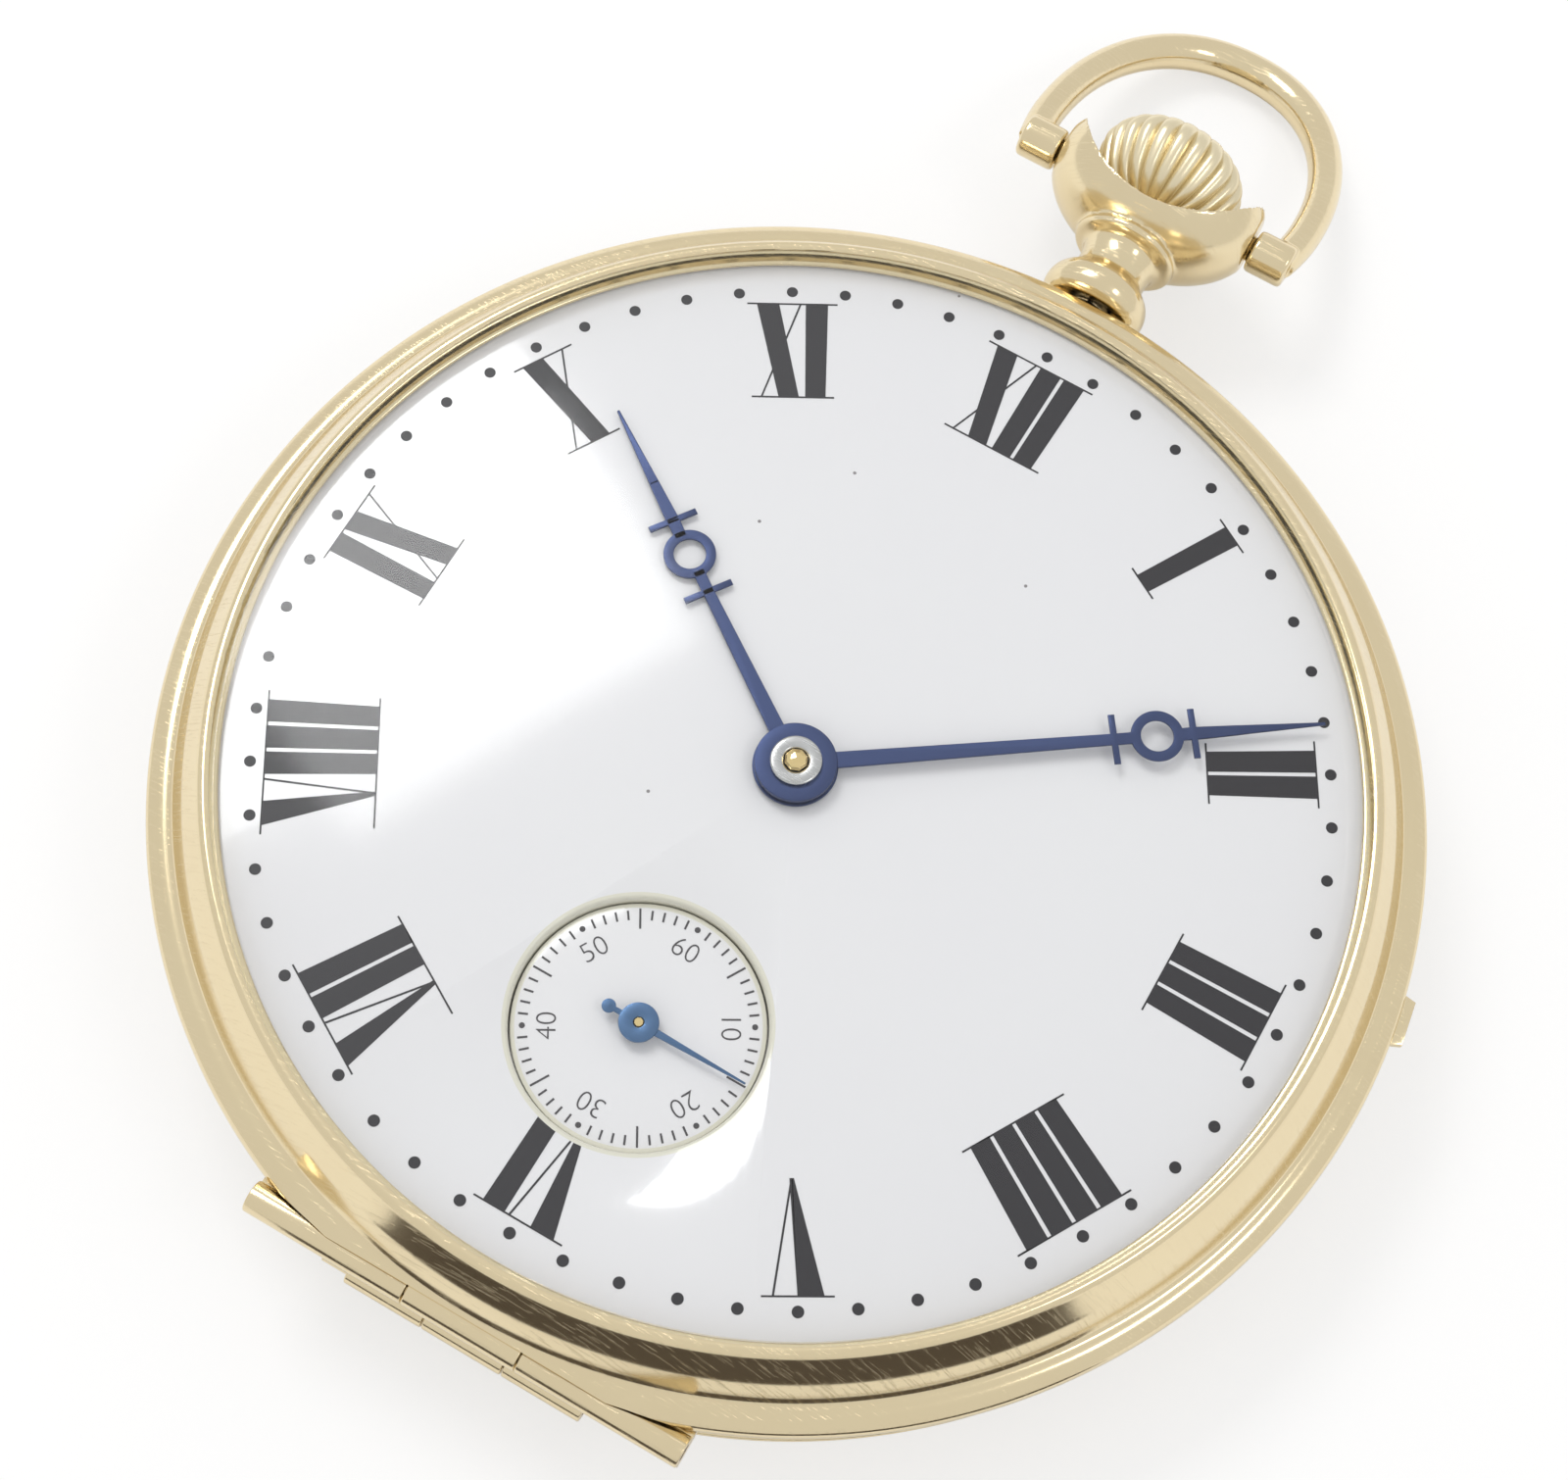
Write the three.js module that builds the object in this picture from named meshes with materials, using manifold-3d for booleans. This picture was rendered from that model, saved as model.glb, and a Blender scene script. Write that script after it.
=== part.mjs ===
// Open face pocket watch of 12-size, lying on its back: dial towards +Z, pendant along +Y, 3 o'clock at +X.
// Millimetres. The origin is on the case axis, on the flat resting face of the back cover.
import * as THREE from "three";
import { mergeVertices } from "three/addons/utils/BufferGeometryUtils.js";
import Module from "manifold-3d";

const wasm = await Module();
wasm.setup();

// ---------- driving dimensions ----------

// Dial
const DIAL_TOP_Z = 7.8;
const DIAL_THICKNESS = 0.8;
const DIAL_R = 19.55;
const DIAL_CENTRE_HOLE_R = 1.1;
const SECONDS_DIAL_R = 4.26;
const SECONDS_DIAL_Y = -10.25;
const SECONDS_DIAL_SINK = 0.45;
const SECONDS_DIAL_THICKNESS = 0.3;
const DIAL_FOOT_R = 0.5;
const DIAL_FOOT_CIRCLE_R = 15.5;
const DIAL_FOOT_BEARINGS = [40, 160, 280];
const DIAL_FOOT_LENGTH = 1.4;

// Case
const CASE_BAND_R = 21.3;
const CASE_BORE_R = 19.75;
const CASE_BAND_BOTTOM_Z = 3.3;
const CASE_BAND_TOP_Z = 5.55;
const CASE_NECK_R = 20.4;
const CASE_NECK_TOP_Z = 7.0;
const CASE_FOOT_BOTTOM_Z = 2.6;
const CASE_LEDGE_R = 19.0;
const CASE_LEDGE_TOP_Z = 4.85;
const CASE_LEDGE_THICKNESS = 0.65;
const SNAP_CLEARANCE = 0.06;

// Bezel and crystal
const BEZEL_R = 21.9;
const BEZEL_RIM_Z = 5.95;
const BEZEL_CREASE_R = 20.95;
const BEZEL_LIP_R = 19.55;
const BEZEL_LIP_HEIGHT = 0.97;
const BEZEL_SIGHT_R = 19.2;
const CRYSTAL_GROOVE_R = 19.7;
const CRYSTAL_EDGE_CLEARANCE = 0.08;
const CRYSTAL_TOP_Z = 10.4;
const CRYSTAL_CENTRE_THICKNESS = 0.75;
const BEZEL_NAIL_BEARING = 81.6;
const BEZEL_NAIL_WIDTH = 1.6;
const BEZEL_NAIL_REACH = 0.35;

// Back cover
const BACK_R = 21.6;
const BACK_FLAT_R = 9;
const BACK_THICKNESS = 0.45;
const BACK_LIP_BEARING = 37.8;
const BACK_LIP_ARC_R = 11;
const BACK_LIP_REACH = 0.9;

// Hinges at 6 o'clock
const BEZEL_HINGE_Y = -21.05;
const BEZEL_HINGE_Z = 5.75;
const BEZEL_HINGE_TUBE_R = 0.55;
const BEZEL_HINGE_LENGTH = 16.2;
const BEZEL_KNUCKLE_WIDTH = 4.2;
const BACK_HINGE_Y = -21.15;
const BACK_HINGE_Z = 3.2;
const BACK_HINGE_TUBE_R = 0.5;
const BACK_HINGE_LENGTH = 9;
const BACK_KNUCKLE_WIDTH = 3;
const HINGE_PIN_R = 0.2;
const HINGE_PIN_CLEARANCE = 0.04;
const HINGE_PIN_RECESS = 0.3;
const KNUCKLE_GAP = 0.05;
const KNUCKLE_SWEEP_CLEARANCE = 0.1;

// Pendant, bow, crown and stem
const PENDANT_Z = 4.9;
const PENDANT_ROOT_Y = 21.42;
const PENDANT_BEAD_Y = 22.05;
const PENDANT_BORE_R = 1.0;
const BALL_Y = 28.0;
const BALL_HALF_WIDTH = 4.25;
const BALL_HALF_LENGTH = 3.0;
const BALL_HALF_HEIGHT = 3.15;
const BALL_FLAT_X = 3.98;
const NOTCH_R = 3.9;
const NOTCH_FLOOR_Y = 26.3;
const BOW_PIVOT_Y = 27.84;
const BOW_PIVOT_R = 0.45;
const BOW_PIVOT_CLEARANCE = 0.05;
const BOW_PIVOT_DEPTH = 0.55;
const BOW_SHOULDER_R = 0.82;
const BOW_FOOT_X = 5.2;
const BOW_HALF_WIDTH = 5.45;
const BOW_REACH = 10.8;
const BOW_SPRING_LINE = 2.33;
const BOW_SQUARENESS = 2.15;
const BOW_WIRE_R = 0.7;
const BOW_APEX_LIFT = 0.12;
const CROWN_R = 2.95;
const CROWN_FLUTES = 24;
const CROWN_FLUTE_DEPTH = 0.16;
const CROWN_TOP_Y = 30.4;
const CROWN_BASE_Y = 26.6;
const STEM_R = 0.55;
const STEM_TOP_Y = 28.6;
const STEM_BOTTOM_Y = 16.6;
const STEM_SQUARE_TOP_Y = 20.6;
const STEM_SQUARE_HALF = 0.34;
const SLEEVE_R = 0.93;
const SLEEVE_BORE_R = 0.62;
const SLEEVE_SPAN_Y = [21.6, 25.7];

// Movement plates
const PLATE_R = 19.65;
const PLATE_BOTTOM_Z = 4.9;
const PLATE_TOP_Z = 6.5;
const PLATE_RIM_WIDTH = 0.95;
const BRIDGE_R = 18.7;
const BRIDGE_OUTER_Z = 2.4;
const BRIDGE_INNER_Z = 3.35;
const FOOT_GAP = 0.05;
const BRIDGE_FOOT_R = 1.1;
const COCK_OUTER_Z = 2.1;
const COCK_INNER_Z = 2.85;

// Train: tooth counts
const BARREL_TEETH = 60;
const CENTRE_PINION_TEETH = 10;
const CENTRE_TEETH = 64;
const THIRD_PINION_TEETH = 8;
const THIRD_TEETH = 60;
const FOURTH_PINION_TEETH = 8;
const FOURTH_TEETH = 60;
const ESCAPE_PINION_TEETH = 6;
const ESCAPE_TEETH = 15;
const ESCAPE_TIP_R = 3.0;
const WINDING_PINION_TEETH = 12;
const CROWN_WHEEL_TEETH = 20;
const RATCHET_TEETH = 42;
const CANNON_TEETH = 10;
const MINUTE_WHEEL_TEETH = 30;
const MINUTE_PINION_TEETH = 8;
const HOUR_WHEEL_TEETH = 32;

// Train: places in plan
const CENTRE = [0, 0];
const BARREL = [6.6, 6.4];
const THIRD = [3.0, -6.05];
const FOURTH = [0, SECONDS_DIAL_Y];
const ESCAPE = [-3.9, -12.77];
const BALANCE = [-10.3, -5.0];
const CROWN_WHEEL = [0, 12.6];
const MINUTE_WHEEL = [2.6, 1.5];
const CLICK = [9.9, 14.0];
const ESCAPE_TO_PALLET = 3.7;

// Train: levels and sizes
const CENTRE_WHEEL_Z = [3.45, 3.65];
const THIRD_WHEEL_Z = [4.5, 4.7];
const FOURTH_WHEEL_Z = [3.95, 4.15];
const ESCAPE_WHEEL_Z = [4.5, 4.7];
const BARREL_Z = [3.75, 4.65];
const BARREL_TEETH_Z = [4.3, 4.65];
const BARREL_DRUM_R = 7.4;
const BARREL_WALL = 0.35;
const BARREL_ARBOR_R = 0.8;
const WINDING_WHEELS_Z = [2.5, 2.9];
const BALANCE_R = 5.1;
const BALANCE_RIM_WIDTH = 0.5;
const BALANCE_RIM_Z = [3.3, 3.8];
const BALANCE_SCREWS = 12;
const ROLLER_R = 0.9;
const ROLLER_Z = [4.2, 4.35];
const HAIRSPRING_Z = [3.0, 3.12];
const HAIRSPRING_TURNS = 4;
const JEWEL_R = 0.82;
const JEWEL_HOLE_R = 0.2;
const PIVOT_R = 0.15;
const RUNNING_CLEARANCE = 0.05;

// Hands, as bearings clockwise from 12 o'clock and as radii from the centre
const HOUR_HAND_BEARING = 305;
const MINUTE_HAND_BEARING = 54.7;
const SECONDS_HAND_BEARING = 90;
const HOUR_HAND_Z = [7.98, 8.08];
const MINUTE_HAND_Z = [8.24, 8.34];
const SECONDS_HAND_Z = [7.76, 7.83];
const HOUR_HAND = { tip: 14.56, ring: 8.52, bars: [6.99, 9.92], bore: 0.85, hub: 1.45 };
const MINUTE_HAND = { tip: 18.1, ring: 12.3, bars: [10.83, 13.56], bore: 0.6, hub: 1.4 };
const HAND_RING_R = 0.91;
const HAND_RING_HOLE_R = 0.5;
const HAND_BAR_HALF = 0.89;
const SECONDS_HAND_LENGTH = 4.0;
const SECONDS_HAND_TAIL = 1.13;

const SMOOTH = 36;
const ROUND = 20;
const MEDIUM = 12;
const SMALL = 8;

// ---------- finishes ----------

const finish = (color, roughness, metalness) =>
  new THREE.MeshStandardMaterial({ color, roughness, metalness });
const GOLD = finish(0xe3c98c, 0.18, 1);
const GLASS = finish(0xf4f8fa, 0.03, 0);
const ENAMEL = finish(0xf4f3ef, 0.12, 0);
const BLUED_STEEL = finish(0x101a38, 0.25, 1);
const STEEL = finish(0xb9bcc2, 0.25, 1);
const NICKEL = finish(0xc9c8c2, 0.32, 1);
const BRASS = finish(0xc9a55a, 0.3, 1);
const RUBY = finish(0xa01030, 0.1, 0);

// ---------- geometry helpers ----------

const radians = THREE.MathUtils.degToRad;
const polar = (r, angle, x = 0, y = 0) => [x + r * Math.cos(angle), y + r * Math.sin(angle)];
const fromBearing = (bearing) => radians(90 - bearing);
const angleTo = (from, to) => Math.atan2(to[1] - from[1], to[0] - from[0]);
const distance = (from, to) => Math.hypot(to[0] - from[0], to[1] - from[1]);

function toSolid(geometry) {
  const bare = new THREE.BufferGeometry();
  const source = geometry.index ? geometry.toNonIndexed() : geometry;
  bare.setAttribute("position", source.getAttribute("position").clone());
  const merged = mergeVertices(bare, 1e-4);
  const index = merged.index.array;
  const triangles = [];
  for (let i = 0; i < index.length; i += 3) {
    const [a, b, c] = [index[i], index[i + 1], index[i + 2]];
    if (a !== b && b !== c && c !== a) triangles.push(a, b, c);
  }
  const mesh = new wasm.Mesh({
    numProp: 3,
    vertProperties: new Float32Array(merged.attributes.position.array),
    triVerts: new Uint32Array(triangles),
  });
  return new wasm.Manifold(mesh);
}

function toGeometry(solid) {
  const mesh = solid.getMesh();
  const positions = new Float32Array(mesh.triVerts.length * 3);
  mesh.triVerts.forEach((vertex, i) => {
    const start = vertex * mesh.numProp;
    positions.set(mesh.vertProperties.subarray(start, start + 3), i * 3);
  });
  const geometry = new THREE.BufferGeometry();
  geometry.setAttribute("position", new THREE.BufferAttribute(positions, 3));
  geometry.computeVertexNormals();
  return geometry;
}

const unite = (...pieces) => pieces.reduce((whole, piece) => whole.add(piece));
const cut = (base, ...tools) => tools.reduce((rest, tool) => rest.subtract(tool), base);
const common = (first, second) => first.intersect(second);

// A solid turned about Z from [radius, z] points, on the axis at both ends or closing on itself.
function turned(profile, segments = ROUND) {
  const closes = profile[0][0] > 0;
  const loop = closes ? [...profile, profile[0]] : profile;
  const area = loop.reduce((sum, [r, z], i) => {
    const [nextR, nextZ] = loop[(i + 1) % loop.length];
    return sum + r * nextZ - nextR * z;
  }, 0);
  const ordered = area < 0 ? [...loop].reverse() : loop;
  const points = ordered.map(([r, z]) => new THREE.Vector2(r, z));
  return toSolid(new THREE.LatheGeometry(points, segments).rotateX(Math.PI / 2));
}

const transformed = (solid, change) => toSolid(change(toGeometry(solid)));
const moved = (solid, x, y, z = 0) =>
  x || y || z ? transformed(solid, (geometry) => geometry.translate(x, y, z)) : solid;

function disc(r, [low, high], [x, y] = [0, 0], segments = ROUND) {
  const solid = turned([[0, low], [r, low], [r, high], [0, high]], segments);
  return moved(solid, x, y);
}

function ring(outer, inner, [low, high], [x, y] = [0, 0], segments = ROUND) {
  const solid = turned([[inner, low], [outer, low], [outer, high], [inner, high]], segments);
  return moved(solid, x, y);
}

// A turned solid whose axis lies along Y at height z, from [radius, y] points.
const turnedAlongY = (profile, z, segments = ROUND) =>
  transformed(turned(profile, segments), (geometry) =>
    geometry.rotateX(-Math.PI / 2).translate(0, 0, z),
  );

const rodAlongY = (r, [low, high], z, segments = SMALL) =>
  turnedAlongY([[0, low], [r, low], [r, high], [0, high]], z, segments);

const rodAlongX = (r, [low, high], y, z, segments = SMALL) =>
  transformed(disc(r, [low, high], [0, 0], segments), (geometry) =>
    geometry.rotateY(Math.PI / 2).translate(0, y, z),
  );

function block([x0, x1], [y0, y1], [z0, z1]) {
  const box = new THREE.BoxGeometry(x1 - x0, y1 - y0, z1 - z0);
  return toSolid(box.translate((x0 + x1) / 2, (y0 + y1) / 2, (z0 + z1) / 2));
}

function slab(points, [low, high]) {
  const shape = new THREE.Shape(points.map(([x, y]) => new THREE.Vector2(x, y)));
  const options = { depth: high - low, bevelEnabled: false };
  return toSolid(new THREE.ExtrudeGeometry(shape, options).translate(0, 0, low));
}

// A bar between two plan points, with a width at each end.
function bar(from, to, widths, levels) {
  const angle = angleTo(from, to);
  const [startWidth, endWidth] = Array.isArray(widths) ? widths : [widths, widths];
  const side = angle + Math.PI / 2;
  const corners = [
    polar(startWidth / 2, side, ...from),
    polar(-startWidth / 2, side, ...from),
    polar(-endWidth / 2, side, ...to),
    polar(endWidth / 2, side, ...to),
  ];
  return slab(corners, levels);
}

// A flat spiral ribbon.
function spiral([innerR, outerR], turns, thickness, levels, [x, y] = [0, 0], start = 0) {
  const stepsPerTurn = 10;
  const steps = turns * stepsPerTurn;
  const outside = [];
  const inside = [];
  for (let i = 0; i <= steps; i += 1) {
    const angle = start + (i / stepsPerTurn) * 2 * Math.PI;
    const r = innerR + ((outerR - innerR) * i) / steps;
    outside.push(polar(r + thickness / 2, angle, x, y));
    inside.push(polar(r - thickness / 2, angle, x, y));
  }
  return slab([...outside, ...inside.reverse()], levels);
}

// Pitch radii of a meshed pair from their distance and tooth counts.
const pitchRadius = (teeth, mateTeeth, centres) => (centres * teeth) / (teeth + mateTeeth);

// A wheel with pointed teeth; a tooth is centred on the phase angle.
function wheelBlank(teeth, pitchR, levels, [x, y], phase) {
  const tooth = (2 * Math.PI * pitchR) / teeth;
  const tip = pitchR + 0.22 * tooth;
  const root = pitchR - 0.38 * tooth;
  const points = [];
  for (let i = 0; i < teeth; i += 1) {
    const angle = phase + (i * 2 * Math.PI) / teeth;
    points.push(polar(tip, angle, x, y), polar(root, angle + Math.PI / teeth, x, y));
  }
  return slab(points, levels);
}

// A pinion with square-ended leaves; a leaf is centred on the phase angle.
function pinionBlank(teeth, pitchR, levels, [x, y], phase) {
  const pitch = (2 * Math.PI) / teeth;
  const tip = pitchR + 0.22 * pitch * pitchR;
  const root = pitchR - 0.3 * pitch * pitchR;
  const points = [];
  for (let i = 0; i < teeth; i += 1) {
    const angle = phase + i * pitch;
    points.push(polar(root, angle - 0.24 * pitch, x, y));
    points.push(polar(tip, angle - 0.1 * pitch, x, y));
    points.push(polar(tip, angle + 0.1 * pitch, x, y));
    points.push(polar(root, angle + 0.24 * pitch, x, y));
  }
  return slab(points, levels);
}

// The phase that puts a gap of the follower on the line to its driver.
const gapTowards = (teeth, from, to) => angleTo(from, to) + Math.PI / teeth;

// An arbor with a pivot at each end.
function arbor(r, [low, high], [pivotLow, pivotHigh], place, pivotR = PIVOT_R) {
  return unite(disc(r, [low, high], place, SMALL), disc(pivotR, [pivotLow, pivotHigh], place, SMALL));
}

// ---------- case ----------

const BALANCE_LINE = angleTo(ESCAPE, BALANCE);
const PALLET = polar(ESCAPE_TO_PALLET, BALANCE_LINE, ...ESCAPE);
const hingeBoreR = HINGE_PIN_R + HINGE_PIN_CLEARANCE;
const bezelSkirtR = CASE_NECK_R + SNAP_CLEARANCE;
const footR = CASE_NECK_R + 0.05;
const backSkirtR = footR + SNAP_CLEARANCE;
const bezelHalf = BEZEL_HINGE_LENGTH / 2;
const bezelKnuckleHalf = BEZEL_KNUCKLE_WIDTH / 2;
const backHalf = BACK_HINGE_LENGTH / 2;
const backKnuckleHalf = BACK_KNUCKLE_WIDTH / 2;

const alongBezelHinge = (r, span) => rodAlongX(r, span, BEZEL_HINGE_Y, BEZEL_HINGE_Z);
const alongBackHinge = (r, span) => rodAlongX(r, span, BACK_HINGE_Y, BACK_HINGE_Z);
const bothSides = (make, near, far) => unite(make([near, far]), make([-far, -near]));

function makeCaseBody() {
  const ledgeBottom = CASE_LEDGE_TOP_Z - CASE_LEDGE_THICKNESS;
  const band = turned(
    [
      [footR, CASE_FOOT_BOTTOM_Z],
      [footR, CASE_BAND_BOTTOM_Z],
      [CASE_BAND_R, CASE_BAND_BOTTOM_Z],
      [CASE_BAND_R, CASE_BAND_TOP_Z],
      [CASE_NECK_R, CASE_BAND_TOP_Z],
      [CASE_NECK_R, CASE_NECK_TOP_Z],
      [CASE_BORE_R, CASE_NECK_TOP_Z],
      [CASE_BORE_R, CASE_LEDGE_TOP_Z],
      [CASE_LEDGE_R, CASE_LEDGE_TOP_Z],
      [CASE_LEDGE_R, ledgeBottom],
      [CASE_BORE_R, ledgeBottom],
      [CASE_BORE_R, CASE_FOOT_BOTTOM_Z],
    ],
    SMOOTH,
  );
  const near = bezelKnuckleHalf + KNUCKLE_GAP;
  const knuckles = bothSides((span) => alongBezelHinge(BEZEL_HINGE_TUBE_R, span), near, bezelHalf);
  const lugs = bothSides(
    (span) => block(span, [BEZEL_HINGE_Y - 0.4, -20.0], [4.75, CASE_BAND_TOP_Z]),
    near,
    bezelHalf,
  );
  const backKnuckle = alongBackHinge(BACK_HINGE_TUBE_R, [-backKnuckleHalf, backKnuckleHalf]);
  const backLug = block(
    [-backKnuckleHalf, backKnuckleHalf],
    [BACK_HINGE_Y - 0.1, -20.6],
    [BACK_HINGE_Z + 0.15, BACK_HINGE_Z + 0.9],
  );
  const bezelSweep = alongBezelHinge(BEZEL_HINGE_TUBE_R + KNUCKLE_SWEEP_CLEARANCE, [-near, near]);
  const backSweep = bothSides(
    (span) => alongBackHinge(BACK_HINGE_TUBE_R + KNUCKLE_SWEEP_CLEARANCE, span),
    backKnuckleHalf,
    backHalf + KNUCKLE_SWEEP_CLEARANCE,
  );
  const bores = unite(
    alongBezelHinge(hingeBoreR, [-bezelHalf - 1, bezelHalf + 1]),
    alongBackHinge(hingeBoreR, [-backHalf - 1, backHalf + 1]),
  );
  const stemHole = rodAlongY(PENDANT_BORE_R, [CASE_LEDGE_R - 1, CASE_BAND_R + 1], PENDANT_Z, MEDIUM);
  const outer = cut(unite(cut(band, bezelSweep, backSweep), knuckles, lugs), bezelSweep);
  return cut(unite(outer, backKnuckle, backLug), bores, stemHole);
}

function makeBezel() {
  const lipZ = DIAL_TOP_Z + BEZEL_LIP_HEIGHT;
  const body = turned(
    [
      [bezelSkirtR, BEZEL_RIM_Z - 0.2],
      [BEZEL_R - 0.35, BEZEL_RIM_Z - 0.3],
      [BEZEL_R, BEZEL_RIM_Z],
      [BEZEL_R - 0.3, BEZEL_RIM_Z + 0.55],
      [BEZEL_CREASE_R, BEZEL_RIM_Z + 0.77],
      [20.45, 7.55],
      [BEZEL_LIP_R + 0.3, lipZ - 0.25],
      [BEZEL_LIP_R, lipZ],
      [BEZEL_LIP_R - 0.19, lipZ - 0.07],
      [CRYSTAL_GROOVE_R, lipZ - 0.3],
      [CRYSTAL_GROOVE_R, DIAL_TOP_Z + 0.3],
      [BEZEL_SIGHT_R, DIAL_TOP_Z + 0.26],
      [BEZEL_SIGHT_R, DIAL_TOP_Z + 0.08],
      [BEZEL_SIGHT_R + 0.65, DIAL_TOP_Z + 0.05],
      [bezelSkirtR, CASE_NECK_TOP_Z + 0.05],
    ],
    SMOOTH,
  );
  const sweepR = BEZEL_HINGE_TUBE_R + KNUCKLE_SWEEP_CLEARANCE;
  const sweepEnd = bezelHalf + 0.3;
  const sweep = bothSides((span) => alongBezelHinge(sweepR, span), bezelKnuckleHalf, sweepEnd);
  const heel = block([-sweepEnd, sweepEnd], [BEZEL_HINGE_Y - 2, BEZEL_HINGE_Y], [5, 7.4]);
  const knuckle = alongBezelHinge(BEZEL_HINGE_TUBE_R, [-bezelKnuckleHalf, bezelKnuckleHalf]);
  const bore = alongBezelHinge(hingeBoreR, [-bezelHalf, bezelHalf]);
  const nailAngle = fromBearing(BEZEL_NAIL_BEARING);
  const nail = bar(
    polar(BEZEL_R - 0.5, nailAngle),
    polar(BEZEL_R + BEZEL_NAIL_REACH, nailAngle),
    [BEZEL_NAIL_WIDTH + 0.5, BEZEL_NAIL_WIDTH],
    [BEZEL_RIM_Z - 0.25, BEZEL_RIM_Z + 0.05],
  );
  return cut(unite(cut(body, sweep, heel), knuckle, nail), bore);
}

// Points of a shallow dome from the edge to the axis.
function domePoints(edgeR, edgeZ, topZ, steps) {
  const points = [];
  for (let i = 0; i <= steps; i += 1) {
    const r = edgeR * (1 - i / steps);
    points.push([r, topZ - (topZ - edgeZ) * (r / edgeR) ** 2]);
  }
  return points;
}

function makeCrystal() {
  const edgeR = CRYSTAL_GROOVE_R - CRYSTAL_EDGE_CLEARANCE;
  const shoulderR = BEZEL_LIP_R - 0.19 - CRYSTAL_EDGE_CLEARANCE;
  const shoulderZ = DIAL_TOP_Z + BEZEL_LIP_HEIGHT - 0.02;
  const innerR = BEZEL_SIGHT_R - 0.3;
  const outer = domePoints(shoulderR, shoulderZ, CRYSTAL_TOP_Z, 3);
  const inner = domePoints(innerR, DIAL_TOP_Z + 0.5, CRYSTAL_TOP_Z - CRYSTAL_CENTRE_THICKNESS, 3);
  const edge = [
    [innerR, DIAL_TOP_Z + 0.36],
    [edgeR, DIAL_TOP_Z + 0.36],
    [edgeR, DIAL_TOP_Z + 0.62],
    [shoulderR, DIAL_TOP_Z + 0.66],
  ];
  return turned([...inner.reverse(), ...edge, ...outer], SMOOTH);
}

function makeBackCover() {
  const shell = turned(
    [
      [0, 0],
      [BACK_FLAT_R, 0],
      [14.5, 0.15],
      [18.8, 0.85],
      [21.0, 2.1],
      [BACK_R, 2.9],
      [BACK_R - 0.05, CASE_BAND_BOTTOM_Z - 0.15],
      [backSkirtR, CASE_BAND_BOTTOM_Z - 0.15],
      [backSkirtR, 2.4],
      [18.4, 0.85 + BACK_THICKNESS],
      [14.3, 0.15 + BACK_THICKNESS],
      [BACK_FLAT_R, BACK_THICKNESS],
      [0, BACK_THICKNESS],
    ],
    SMOOTH,
  );
  const lipAngle = fromBearing(BACK_LIP_BEARING);
  const lipCentre = polar(BACK_R + BACK_LIP_REACH - BACK_LIP_ARC_R, lipAngle);
  const lipZ = [CASE_BAND_BOTTOM_Z - 0.45, CASE_BAND_BOTTOM_Z - 0.15];
  const lip = cut(disc(BACK_LIP_ARC_R, lipZ, lipCentre), disc(backSkirtR + 0.4, [2, 4], CENTRE, SMOOTH));
  const sweepR = BACK_HINGE_TUBE_R + KNUCKLE_SWEEP_CLEARANCE;
  const near = backKnuckleHalf + KNUCKLE_GAP;
  const sweep = alongBackHinge(sweepR, [-near, near]);
  const heel = block([-backHalf - 0.8, backHalf + 0.8], [BACK_HINGE_Y - 2, BACK_HINGE_Y], [1, 4]);
  const knuckles = bothSides((span) => alongBackHinge(BACK_HINGE_TUBE_R, span), near, backHalf);
  const bore = alongBackHinge(hingeBoreR, [-backHalf - 1, backHalf + 1]);
  return cut(unite(cut(shell, heel), knuckles, lip), sweep, bore);
}

const makeHingePin = (length, along) =>
  along(HINGE_PIN_R, [-length / 2 + HINGE_PIN_RECESS, length / 2 - HINGE_PIN_RECESS]);

// ---------- pendant, bow and crown ----------

function makePendant() {
  const neck = turnedAlongY(
    [
      [0, PENDANT_BEAD_Y],
      [1.75, PENDANT_BEAD_Y],
      [2.02, 22.45],
      [2.05, 22.85],
      [1.92, 23.25],
      [1.52, 23.6],
      [1.38, 23.8],
      [1.36, 24.4],
      [1.5, 24.95],
      [1.95, 25.0],
      [2.06, 25.15],
      [2.04, 25.35],
      [1.85, 25.45],
      [0, 25.45],
    ],
    PENDANT_Z,
    16,
  );
  const rootSpan = [PENDANT_ROOT_Y, PENDANT_BEAD_Y + 0.1];
  const lowRoot = common(
    rodAlongY(1.85, rootSpan, PENDANT_Z, 16),
    block([-3, 3], rootSpan, [CASE_BAND_BOTTOM_Z + 0.05, CASE_BAND_TOP_Z]),
  );
  const ball = toSolid(
    new THREE.SphereGeometry(1, 20, 12)
      .scale(BALL_HALF_WIDTH, BALL_HALF_LENGTH, BALL_HALF_HEIGHT)
      .translate(0, BALL_Y, PENDANT_Z),
  );
  const flats = bothSides((span) => block(span, [20, 34], [-5, 15]), BALL_FLAT_X, BALL_FLAT_X + 2);
  const notch = disc(NOTCH_R, [-3, 13], [0, NOTCH_FLOOR_Y + NOTCH_R]);
  const bore = rodAlongY(PENDANT_BORE_R, [PENDANT_ROOT_Y - 1, BALL_Y], PENDANT_Z, MEDIUM);
  const holeR = BOW_PIVOT_R + BOW_PIVOT_CLEARANCE;
  const holes = bothSides((span) => rodAlongX(holeR, span, BOW_PIVOT_Y, PENDANT_Z), 2.5, 6);
  return cut(unite(neck, lowRoot, cut(ball, flats, notch)), bore, holes);
}

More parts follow.
